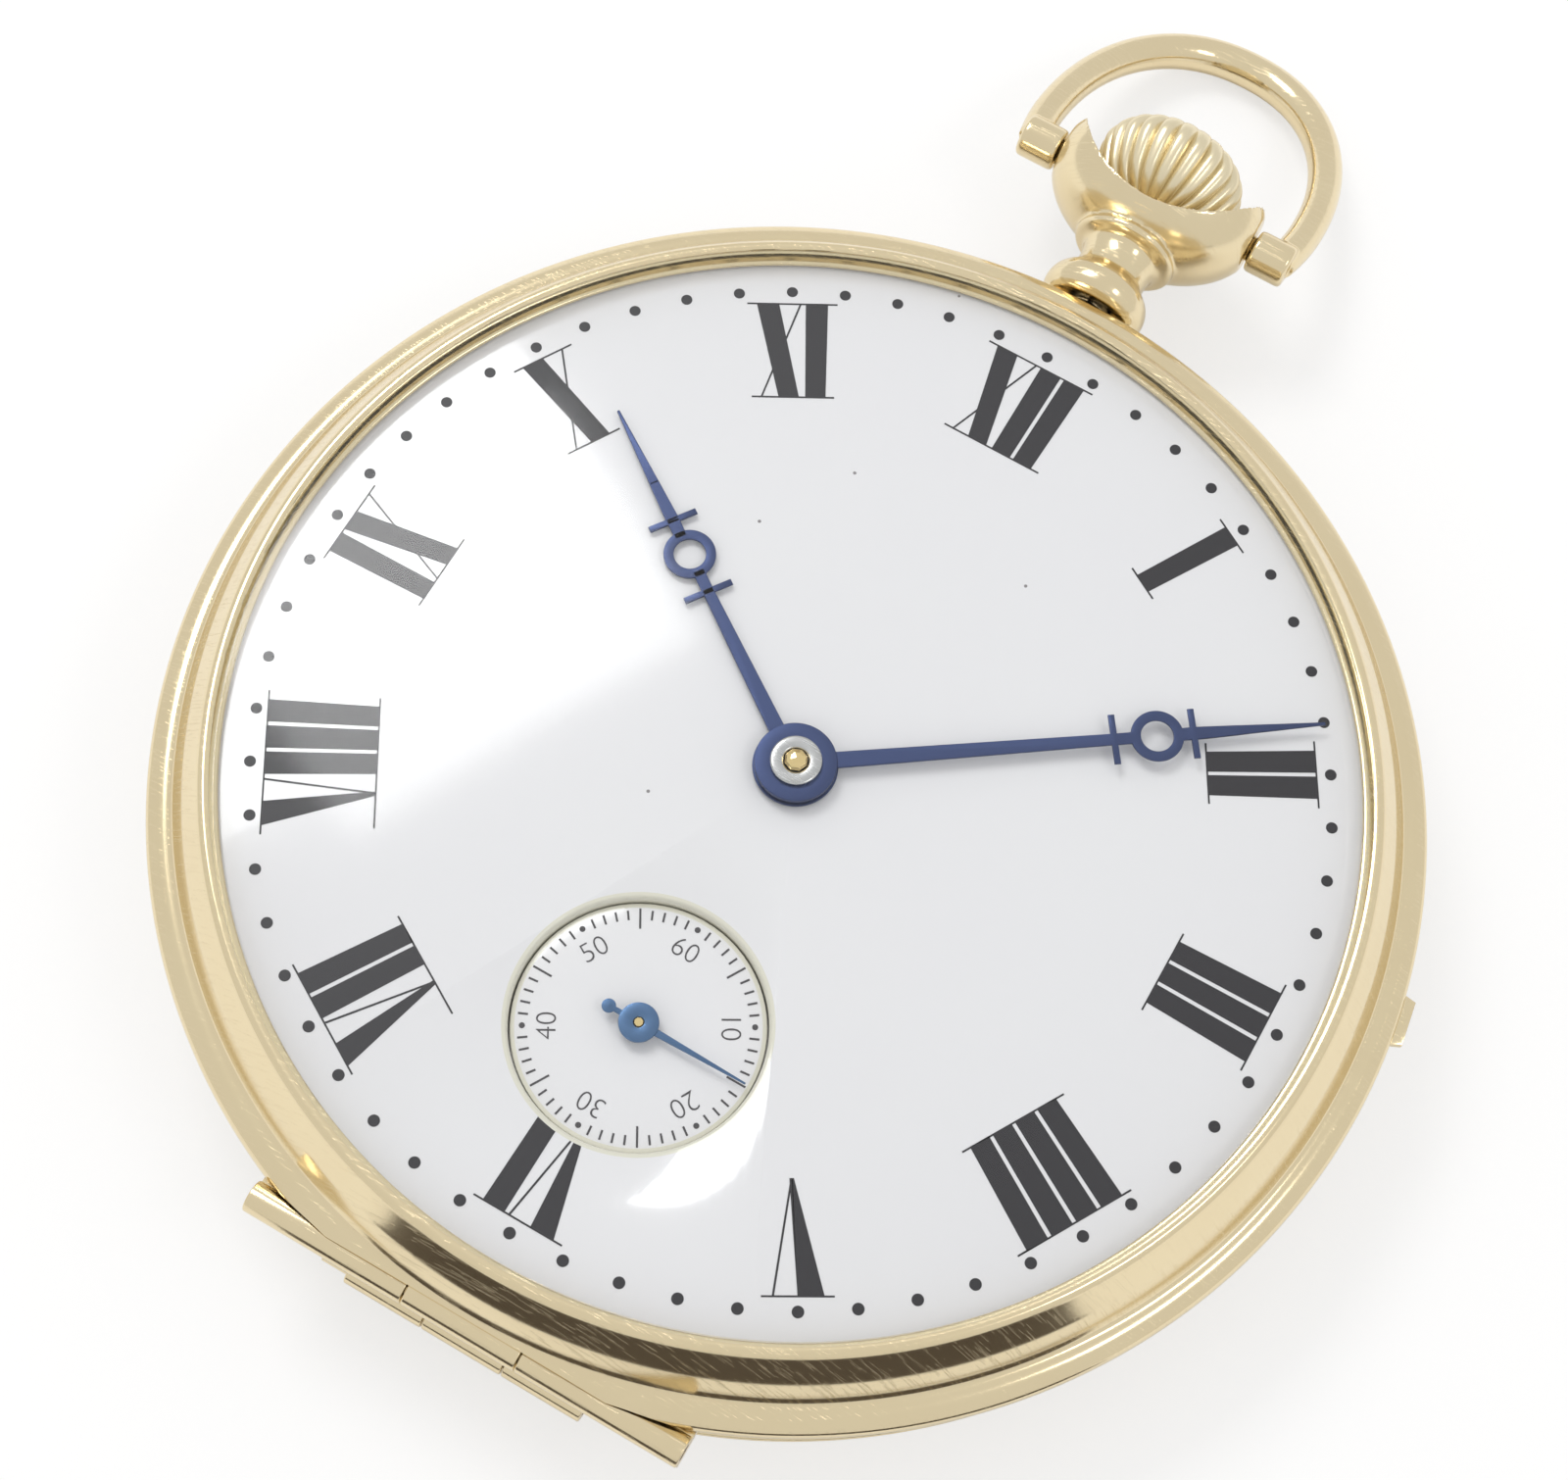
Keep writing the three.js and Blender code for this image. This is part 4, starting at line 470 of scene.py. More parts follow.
class Solid:
    """A closed mesh in millimetres, shaped by bmesh operators."""

    def __init__(self, shape: bmesh.types.BMesh) -> None:
        """Wraps a bmesh.

        Args:
            shape: The bmesh to keep.
        """
        self.shape = shape

    @classmethod
    def turned(
        cls,
        profile: Sequence[Point],
        steps: int = 180,
        axis: Axis = Axis.Z,
        centre: Sequence[float] = (0, 0, 0),
    ) -> "Solid":
        """A turned piece.

        Args:
            profile: (radius, height) points, on the axis at both ends or a closed loop.
            steps: Steps round the full turn.
            axis: The axis it lies along.
            centre: The point that radius 0, height 0 goes to.

        Returns:
            The solid.
        """
        shape = bmesh.new()
        points = [shape.verts.new((r, 0, h)) for r, h in profile]
        ends_on_axis = profile[0][0] < 1e-9 and profile[-1][0] < 1e-9
        pairs = list(zip(points, points[1:])) + ([] if ends_on_axis else [(points[-1], points[0])])
        edges = [shape.edges.new(pair) for pair in pairs]
        bmesh.ops.spin(
            shape, geom=points + edges, cent=(0, 0, 0), axis=(0, 0, 1), dvec=(0, 0, 0),
            angle=FULL_TURN, steps=steps, use_merge=True, use_duplicate=False,
        )
        return cls(shape)._closed().moved(Matrix.Translation(centre) @ axis.value)

    @classmethod
    def rod(
        cls, radius: float, span: Point, axis: Axis, centre: Sequence[float] = (0, 0, 0),
        steps: int = 64, edge: float = 0.0,
    ) -> "Solid":
        """A round rod.

        Args:
            radius: Its radius.
            span: Where it starts and ends along its axis.
            axis: The axis it lies along.
            centre: A point on its axis, at 0 of the span.
            steps: Sides of the round.
            edge: Radius of its rounded ends.

        Returns:
            The solid.
        """
        corners = [(0, span[0]), (radius, span[0]), (radius, span[1]), (0, span[1])]
        profile = softened(corners, edge, closed=False) if edge else corners
        return cls.turned(profile, steps, axis, centre)

    @classmethod
    def ring(cls, outer: float, inner: float, levels: Point, centre: Point = (0, 0), edge: float = 0.0) -> "Solid":
        """A flat ring about Z.

        Args:
            outer: Outer radius.
            inner: Bore radius.
            levels: Bottom and top.
            centre: Plan centre.
            edge: Radius of its rounded edges.

        Returns:
            The solid.
        """
        low, high = levels
        corners = [(inner, low), (outer, low), (outer, high), (inner, high)]
        profile = softened(corners, edge, steps=3) if edge else corners
        return cls.turned(profile, 72, centre=(*centre, 0))

    @classmethod
    def block(cls, x: Point, y: Point, z: Point) -> "Solid":
        """A box between the given limits.

        Args:
            x: Limits along X.
            y: Limits along Y.
            z: Limits along Z.

        Returns:
            The solid.
        """
        shape = bmesh.new()
        bmesh.ops.create_cube(shape, size=1)
        middle = [(a + b) / 2 for a, b in (x, y, z)]
        size = [b - a for a, b in (x, y, z)]
        return cls(shape).moved(Matrix.LocRotScale(Vector(middle), None, Vector(size)))

    @classmethod
    def slab(cls, outline: Sequence[Point], levels: Point, edge: float = 0.0) -> "Solid":
        """A flat outline with a thickness.

        Args:
            outline: Plan points in order.
            levels: Bottom and top.
            edge: Bevel along the upper edge.

        Returns:
            The solid.
        """
        shape = bmesh.new()
        floor = shape.faces.new([shape.verts.new((x, y, levels[0])) for x, y in outline])
        made = bmesh.ops.extrude_face_region(shape, geom=[floor])["geom"]
        top = [v for v in made if isinstance(v, bmesh.types.BMVert)]
        bmesh.ops.translate(shape, verts=top, vec=(0, 0, levels[1] - levels[0]))
        if edge:
            rim = [e for e in made if isinstance(e, bmesh.types.BMEdge)]
            bmesh.ops.bevel(
                shape, geom=rim, offset=edge, segments=2, affect="EDGES", profile=0.5,
                material=-1, clamp_overlap=True,
            )
        return cls(shape)._closed()

    @classmethod
    def bar(cls, start: Point, end: Point, widths: Point, levels: Point, edge: float = 0.0) -> "Solid":
        """A bar in plan with a width at each end.

        Args:
            start: Middle of one end.
            end: Middle of the other end.
            widths: Width at each end.
            levels: Bottom and top.
            edge: Bevel along the upper edge.

        Returns:
            The solid.
        """
        side = (Vector(end) - Vector(start)).orthogonal().normalized()
        corners = [
            tuple(Vector(place) + side * width / 2 * sign)
            for place, width, sign in (
                (start, widths[0], 1), (start, widths[0], -1), (end, widths[1], -1), (end, widths[1], 1)
            )
        ]
        return cls.slab(corners, levels, edge)

    @classmethod
    def swept(cls, line: Sequence[Vector], radii: Sequence[float], sides: int = 32) -> "Solid":
        """A round wire along a line that lies in the XY plane.

        Args:
            line: Points of the centre line.
            radii: The wire's radius at each point.
            sides: Sides of the round.

        Returns:
            The solid.
        """
        shape = bmesh.new()
        frames = []
        for i, place in enumerate(line):
            ahead = (line[min(i + 1, len(line) - 1)] - line[max(i - 1, 0)]).normalized()
            turn = ahead.to_track_quat("Z", "Y").to_matrix().to_4x4()
            frames.append(Matrix.Translation(place) @ turn @ Matrix.Scale(radii[i], 4))
        bmesh.ops.create_circle(shape, cap_ends=True, radius=1, segments=sides, matrix=frames[0])
        section = list(shape.faces)
        for before, after in zip(frames, frames[1:]):
            made = bmesh.ops.extrude_face_region(shape, geom=section)["geom"]
            bmesh.ops.delete(shape, geom=[f for f in section if f.is_valid], context="FACES_ONLY")
            section = [f for f in made if isinstance(f, bmesh.types.BMFace)]
            verts = [v for v in made if isinstance(v, bmesh.types.BMVert)]
            bmesh.ops.transform(shape, matrix=after @ before.inverted(), verts=verts)
        first = [e for e in shape.edges if len(e.link_faces) == 1]
        bmesh.ops.contextual_create(shape, geom=first)
        return cls(shape)._closed()

    def _closed(self) -> "Solid":
        """Merges doubles and turns the faces outwards."""
        bmesh.ops.remove_doubles(self.shape, verts=self.shape.verts, dist=1e-5)
        bmesh.ops.recalc_face_normals(self.shape, faces=self.shape.faces)
        return self

    def moved(self, matrix: Matrix) -> "Solid":
        """Moves the whole solid.

        Args:
            matrix: The change of place.

        Returns:
            This solid.
        """
        bmesh.ops.transform(self.shape, matrix=matrix, verts=self.shape.verts)
        return self

    def shifted(self, change: Callable[[Vector], Vector]) -> "Solid":
        """Moves each corner by a rule.

        Args:
            change: From a corner's place to its new place.

        Returns:
            This solid.
        """
        for vert in self.shape.verts:
            vert.co = change(vert.co)
        return self

    def added(self, *others: "Solid") -> "Solid":
        """Puts solids that don't touch into this one.

        Args:
            others: The solids to take in.

        Returns:
            This solid.
        """
        for other in others:
            carrier = bpy.data.meshes.new("carrier")
            other.shape.to_mesh(carrier)
            self.shape.from_mesh(carrier)
            bpy.data.meshes.remove(carrier)
        return self

    def _object(self, name: str) -> bpy.types.Object:
        """An object in the scene that holds this shape."""
        mesh = bpy.data.meshes.new(name)
        self.shape.to_mesh(mesh)
        made = bpy.data.objects.new(name, mesh)
        bpy.context.scene.collection.objects.link(made)
        return made

    def _through(self, arrange: Callable[[bpy.types.Object], Iterable[bpy.types.Object]]) -> "Solid":
        """Runs modifiers over the shape and takes their result.

        Args:
            arrange: Adds the modifiers and hands back the helper objects.

        Returns:
            This solid.
        """
        base = self._object("work")
        helpers = list(arrange(base))
        evaluated = base.evaluated_get(bpy.context.evaluated_depsgraph_get())
        result = bpy.data.meshes.new_from_object(evaluated)
        self.shape.free()
        self.shape = bmesh.new()
        self.shape.from_mesh(result)
        bpy.data.meshes.remove(result)
        for item in [base, *helpers]:
            mesh = item.data
            bpy.data.objects.remove(item)
            bpy.data.meshes.remove(mesh)
        return self

    def _combined(self, blend: Blend, tools: Sequence["Solid"]) -> "Solid":
        """Unites or cuts with each tool in turn."""

        def arrange(base: bpy.types.Object) -> list[bpy.types.Object]:
            helpers = []
            for tool in tools:
                helper = tool._object("tool")
                change = base.modifiers.new("combine", "BOOLEAN")
                change.operation = blend.value
                change.solver = "EXACT"
                change.object = helper
                helpers.append(helper)
            return helpers

        return self._through(arrange)

    def united(self, *tools: "Solid") -> "Solid":
        """Joins solids to this one."""
        return self._combined(Blend.UNITE, tools)

    def cut(self, *tools: "Solid") -> "Solid":
        """Cuts solids out of this one."""
        return self._combined(Blend.CUT, tools)

    def melted(self, grain: float, passes: int) -> "Solid":
        """Softens every edge, as polishing does.

        Args:
            grain: Size of the new facets.
            passes: How often the facets are smoothed.

        Returns:
            This solid.
        """

        def arrange(base: bpy.types.Object) -> list[bpy.types.Object]:
            remesh = base.modifiers.new("grain", "REMESH")
            remesh.mode = "VOXEL"
            remesh.voxel_size = grain
            return []

        self._through(arrange)
        for _ in range(passes):
            bmesh.ops.smooth_vert(
                self.shape, verts=self.shape.verts, factor=0.5,
                use_axis_x=True, use_axis_y=True, use_axis_z=True,
            )
        return self

    def shown(
        self, name: str, finish: Finish, body: str, nodes: Sequence[str] = (),
        slot: str | None = None, sharp: float = 32.0,
    ) -> bpy.types.Object:
        """Makes the finished piece in the scene.

        Args:
            name: The piece's name.
            finish: Its finish.
            body: The moving body it rides on.
            nodes: The frame nodes it stands for.
            slot: Not used.
            sharp: Edges steeper than this, in degrees, stay sharp.

        Returns:
            The object.
        """
        self.moved(Matrix.Scale(MM, 4))
        made = self._object(name)
        made.data.materials.clear()
        made.data.materials.append(finish.material())
        for face in made.data.polygons:
            face.use_smooth = True
            face.material_index = 0
        made.data.set_sharp_from_angle(angle=math.radians(sharp))
        self.shape.free()
        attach(made, body)
        if nodes:
            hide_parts(*nodes)
        log.info("%s: %d faces on %s", name, len(made.data.polygons), body)
        return made


def both_sides(make: Callable[[Point], Solid], near: float, far: float) -> tuple[Solid, Solid]:
    """The same piece at +X and -X.

    Args:
        make: Makes one from its span along X.
        near: Inner end.
        far: Outer end.

    Returns:
        The two solids.
    """
    return make((near, far)), make((-far, -near))


# ---------- case ----------


@dataclass
class HingeSizes:
    """One hinge at 6 o'clock."""

    y: float
    z: float
    tube: float
    half: float
    knuckle_half: float
    bore: float = 0.3
    gap: float = 0.05
    sweep: float = 0.1

    def tube_over(self, span: Point, edge: float = 0.06) -> Solid:
        """A knuckle tube over a span of X."""
        return Solid.rod(self.tube, span, Axis.X, (0, self.y, self.z), 48, edge)

    def clearance_over(self, span: Point) -> Solid:
        """The room a knuckle turns in."""
        return Solid.rod(self.tube + self.sweep, span, Axis.X, (0, self.y, self.z), 48)

    def bored(self) -> Solid:
        """The pin's bore through every knuckle."""
        return Solid.rod(self.bore, (-self.half - 1, self.half + 1), Axis.X, (0, self.y, self.z), 24)


@dataclass
class Case:
    """Case body, bezel, crystal and back cover with their hinges."""

    band_r: float = 21.3
    bore_r: float = 19.75
    neck_r: float = 20.4
    foot_r: float = 20.45
    foot_z: float = 2.6
    band_z: Point = (3.3, 5.55)
    neck_z: float = 7.0
    ledge_r: float = 19.0
    ledge_z: Point = (4.2, 4.85)
    dial_z: float = 7.8
    bezel_r: float = 21.9
    rim_z: float = 5.95
    lip_r: float = 19.55
    lip_z: float = 8.77
    skirt_r: float = 20.46
    sight_r: float = 19.2
    groove_r: float = 19.7
    nail_bearing: float = 81.6
    nail_reach: float = 0.35
    crystal_top: float = 10.4
    back_r: float = 21.6
    back_flat_r: float = 9.0
    back_thickness: float = 0.45
    back_skirt_r: float = 20.51
    lip_bearing: float = 37.8
    lip_arc_r: float = 11.0
    lip_reach: float = 0.9
    stem_hole_r: float = 1.0
    pendant_z: float = 4.9
    bezel_hinge: HingeSizes = field(default_factory=lambda: HingeSizes(-21.05, 5.75, 0.55, 8.1, 2.1))
    back_hinge: HingeSizes = field(default_factory=lambda: HingeSizes(-21.15, 3.2, 0.5, 4.5, 1.5, 0.25))

    def build(self) -> None:
        """Builds every piece of the case."""
        self._body().shown("case_shell", GOLD, "case", ["case_body"], "gold")
        self._bezel().shown("bezel_ring", GOLD, "bezel", ["bezel"], "gold")
        self._crystal().shown("watch_crystal", CRYSTAL, "bezel", ["crystal"], "crystal", 60)
        self._back().shown("back_shell", GOLD, "back_cover", ["back_cover"], "gold")

    def _body(self) -> Solid:
        """The band that carries the movement, with the outer knuckles of the bezel hinge."""
        low, high = self.band_z
        loop = [
            (self.foot_r, self.foot_z), (self.foot_r, low), (self.band_r, low), (self.band_r, high),
            (self.neck_r, high), (self.neck_r, self.neck_z), (self.bore_r, self.neck_z),
            (self.bore_r, self.ledge_z[1]), (self.ledge_r, self.ledge_z[1]),
            (self.ledge_r, self.ledge_z[0]), (self.bore_r, self.ledge_z[0]), (self.bore_r, self.foot_z),
        ]
        band = Solid.turned(softened(loop, 0.1, steps=2))
        hinge, back = self.bezel_hinge, self.back_hinge
        near = hinge.knuckle_half + hinge.gap
        room = hinge.clearance_over((-near, near))
        lugs = both_sides(
            lambda span: Solid.block(span, (hinge.y - 0.4, -20.0), (4.75, high)), near, hinge.half
        )
        knuckles = both_sides(hinge.tube_over, near, hinge.half)
        back_room = both_sides(back.clearance_over, back.knuckle_half, back.half + back.sweep)
        back_lug = Solid.block(
            (-back.knuckle_half, back.knuckle_half), (back.y - 0.1, -20.6), (back.z + 0.15, back.z + 0.9)
        )
        back_knuckle = back.tube_over((-back.knuckle_half, back.knuckle_half))
        stem_hole = Solid.rod(self.stem_hole_r, (18, 22.3), Axis.Y, (0, 0, self.pendant_z), 48)
        band.cut(room, *back_room)
        band.united(*lugs, *knuckles, back_knuckle, back_lug)
        return band.cut(hinge.bored(), back.bored(), stem_hole)

    def _bezel(self) -> Solid:
        """The bezel: rolled rim, crease, slope and the lip that holds the glass."""
        rim, lip = self.rim_z, self.lip_z
        corners = [
            (self.skirt_r, rim - 0.2), (self.bezel_r - 0.35, rim - 0.3), (self.bezel_r, rim - 0.08),
            (self.bezel_r - 0.07, rim + 0.36), (self.bezel_r - 0.55, rim + 0.66), (20.95, rim + 0.7),
            (20.78, rim + 0.95), (20.42, 7.7), (19.95, 8.42), (self.lip_r + 0.24, lip - 0.1),
            (self.lip_r + 0.05, lip), (self.lip_r - 0.19, lip - 0.07), (self.groove_r, lip - 0.3),
            (self.groove_r, self.dial_z + 0.3), (self.sight_r, self.dial_z + 0.26),
            (self.sight_r, self.dial_z + 0.08), (self.sight_r + 0.65, self.dial_z + 0.05),
            (self.skirt_r, self.neck_z + 0.05),
        ]
        ring = Solid.turned(softened(corners, 0.16, steps=4), 240)
        hinge = self.bezel_hinge
        end = hinge.half + 0.3
        heel = Solid.block((-end, end), (hinge.y - 2, hinge.y), (5, 7.4))
        room = both_sides(hinge.clearance_over, hinge.knuckle_half, end)
        ring.cut(heel, *room)
        knuckle = hinge.tube_over((-hinge.knuckle_half, hinge.knuckle_half))
        nail = Solid.bar(
            polar(self.bezel_r - 0.5, self.nail_bearing),
            polar(self.bezel_r + self.nail_reach, self.nail_bearing),
            (2.1, 1.6), (rim - 0.25, rim + 0.05), 0.06,
        )
        return ring.united(knuckle, nail).cut(hinge.bored())

    def _crystal(self) -> Solid:
        """The domed watch glass."""
        edge_r, shoulder_r, inner_r = self.groove_r - 0.08, self.lip_r - 0.27, self.sight_r - 0.3
        steps = 14
        foot, shoulder_z, inner_top = self.dial_z + 0.36, self.lip_z - 0.02, self.crystal_top - 0.75

        def dome(radius: float, low: float, high: float) -> list[Point]:
            shares = [1 - i / steps for i in range(steps + 1)]
            return [(radius * s, high - (high - low) * s * s) for s in shares]

        inner = dome(inner_r, self.dial_z + 0.5, inner_top)[::-1]
        edge = [(inner_r, foot), (edge_r, foot), (edge_r, foot + 0.26), (shoulder_r, foot + 0.3)]
        return Solid.turned([*inner, *edge, *dome(shoulder_r, shoulder_z, self.crystal_top)], 240)

    def _back(self) -> Solid:
        """The back cover with its lift lip and the outer knuckles of its hinge."""
        top, thick = self.band_z[0] - 0.15, self.back_thickness
        corners = [
            (0, 0), (self.back_flat_r, 0), (14.5, 0.15), (18.8, 0.85), (21.0, 2.1), (self.back_r, 2.8),
            (self.back_r - 0.05, top), (self.back_skirt_r, top), (self.back_skirt_r, 2.4),
            (18.4, 0.85 + thick), (14.3, 0.15 + thick), (self.back_flat_r, thick), (0, thick),
        ]
        shell = Solid.turned(softened(corners, 1.3, closed=False, steps=5), 240)
        centre = polar(self.back_r + self.lip_reach - self.lip_arc_r, self.lip_bearing)
        lip = Solid.ring(self.lip_arc_r, 2.0, (top - 0.3, top), centre, 0.08)
        lip.cut(Solid.rod(self.back_skirt_r + 0.4, (1, 5), Axis.Z, steps=180))
        hinge = self.back_hinge
        near = hinge.knuckle_half + hinge.gap
        heel = Solid.block((-hinge.half - 0.8, hinge.half + 0.8), (hinge.y - 2, hinge.y), (1, 4))
        knuckles = both_sides(hinge.tube_over, near, hinge.half)
        shell.cut(heel).united(*knuckles, lip)
        return shell.cut(hinge.clearance_over((-near, near)), hinge.bored())


@dataclass
class PendantGroup:
    """Pendant, bow and crown at 12 o'clock."""

    z: float = 4.9
    root_y: float = 21.42
    bead_y: float = 22.05
    bore_r: float = 1.0
    ball_y: float = 28.0
    ball: tuple[float, float, float] = (4.25, 3.0, 3.15)
    flat_x: float = 3.98
    notch_r: float = 3.9
    notch_floor: float = 26.3
    pivot_y: float = 27.84
    pivot_r: float = 0.45
    shoulder_r: float = 0.82
    foot_x: float = 5.2
    half_width: float = 5.45
    reach: float = 10.73
    spring_line: float = 2.33
    squareness: float = 2.15
    leg_r: float = 0.64
    arch_r: float = 0.72
    lift: float = 0.12
    wire_rest_r: float = 0.7
    crown_r: float = 2.95
    crown_base: float = 26.6
    crown_top: float = 30.4
    flutes: int = 24
    flute_depth: float = 0.3

    def build(self) -> None:
        """Builds the pendant, the bow and the crown."""
        self._pendant().shown("pendant_ball", GOLD, "case", ["pendant"], "gold", 60)
        self._bow().shown("bow_loop", GOLD, "bow", ["bow"], "gold", 60)
        self._crown().shown("fluted_crown", WORN_GOLD, "crown", ["crown"], "worn_gold", 70)

    def _pendant(self) -> Solid:
        """Bead, waisted neck, collar and the flattened ball with its ears."""
        outline = [
            (0, self.bead_y), (1.75, self.bead_y), (2.02, 22.45), (2.05, 22.85), (1.92, 23.25),
            (1.52, 23.6), (1.38, 23.8), (1.36, 24.4), (1.5, 24.9), (1.95, 25.0), (2.06, 25.2),
            (1.9, 25.42), (1.5, 25.5), (0, 25.5),
        ]
        neck = Solid.turned(softened(outline, 0.3, closed=False), 96, Axis.Y, (0, 0, self.z))
        root = Solid.rod(1.85, (self.root_y, self.bead_y + 0.1), Axis.Y, (0, 0, self.z), 96)
        root.cut(Solid.block((-3, 3), (20, 23), (0, 3.35)), Solid.block((-3, 3), (20, 23), (5.55, 9)))
        shape = bmesh.new()
        bmesh.ops.create_uvsphere(shape, u_segments=96, v_segments=64, radius=1)
        ball = Solid(shape).moved(
            Matrix.LocRotScale(Vector((0, self.ball_y, self.z)), None, Vector(self.ball))
        )
        flats = both_sides(
            lambda span: Solid.block(span, (20, 34), (-5, 15)), self.flat_x, self.flat_x + 2
        )
        notch = Solid.rod(
            self.notch_r, (-3, 13), Axis.Z, (0, self.notch_floor + self.notch_r, 0), 128
        )
        bore = Solid.rod(self.bore_r, (20, 29), Axis.Y, (0, 0, self.z), 48)
        holes = both_sides(
            lambda span: Solid.rod(self.pivot_r + 0.07, span, Axis.X, (0, self.pivot_y, self.z), 32), 2.5, 6
        )
        ball.cut(*flats, notch)
        neck.united(ball, root).cut(bore, *holes)
        return neck.melted(0.07, 3)

    def _bow_line(self) -> tuple[list[Vector], list[float]]:
        """The bow's centre line in its own plane, and the wire's radius along it."""
        power = 2 / self.squareness
        legs, arch = 6, 44
        line: list[Vector] = []
        for i in range(legs):
            share = i / legs
            x = self.foot_x + (self.half_width - self.foot_x) * (1 - (1 - share) ** 2)
            line.append(Vector((-x, self.spring_line * share, 0)))
        for i in range(arch + 1):
            t = -math.pi / 2 + math.pi * i / arch
            across = math.copysign(abs(math.sin(t)) ** power, math.sin(t))
            out = max(math.cos(t), 0) ** power
            rise = self.reach - self.spring_line
            line.append(Vector((self.half_width * across, self.spring_line + rise * out, 0)))
        line += [Vector((-p.x, p.y, 0)) for p in line[legs - 1 :: -1]]
        radii = [self.leg_r + (self.arch_r - self.leg_r) * (p.y / self.reach) ** 2 for p in line]
        return line, radii

    def _bow(self) -> Solid:
        """The stirrup-shaped bow with its shoulders and pivots, lying back on its rest."""
        wire = Solid.swept(*self._bow_line())
        shoulders = both_sides(
            lambda span: Solid.rod(self.shoulder_r, span, Axis.X, edge=0.18),
            self.flat_x + 0.12, self.foot_x + 0.45,
        )
        pivots = both_sides(
            lambda span: Solid.rod(self.pivot_r, span, Axis.X, edge=0.05), self.flat_x - 0.55, self.foot_x
        )
        tilt = -math.asin((self.z - self.wire_rest_r - self.lift) / self.reach)
        place = Matrix.Translation((0, self.pivot_y, self.z)) @ Matrix.Rotation(tilt, 4, "X")
        return wire.united(*shoulders, *pivots).melted(0.06, 2).moved(place)

    def _crown(self) -> Solid:
        """The onion-shaped crown, its flutes fading towards the top."""
        base, top, r = self.crown_base, self.crown_top, self.crown_r
        outline = [
            (0, base), (1.2, base + 0.12), (2.3, base + 0.8), (r - 0.12, base + 1.9), (r, top - 1.2),
            (r - 0.4, top - 0.5), (1.7, top - 0.12), (0, top),
        ]
        body = Solid.turned(softened(outline, 0.55, closed=False, steps=8), self.flutes * 12)

        def fluted(place: Vector) -> Vector:
            away = math.hypot(place.x, place.y)
            angle = math.atan2(place.y, place.x)
            groove = 1 - abs(math.cos(self.flutes / 2 * angle))
            fade = min(1.0, max(0.0, (away - 0.9) / 1.3)) * min(1.0, (top - place.z) / 1.3)
            share = 1 - self.flute_depth * groove**1.6 * fade / max(away, 0.5)
            return Vector((place.x * share, place.y * share, place.z))

        body.shifted(fluted).moved(Matrix.Translation((0, 0, self.z)) @ Axis.Y.value)
        return body.cut(Solid.rod(0.6, (base - 1, 28.7), Axis.Y, (0, 0, self.z), 48))


# ---------- dial ----------


class Stroke(Enum):
    """The strokes that Roman numerals are made of."""

    I = "I"
    V = "V"
    X = "X"


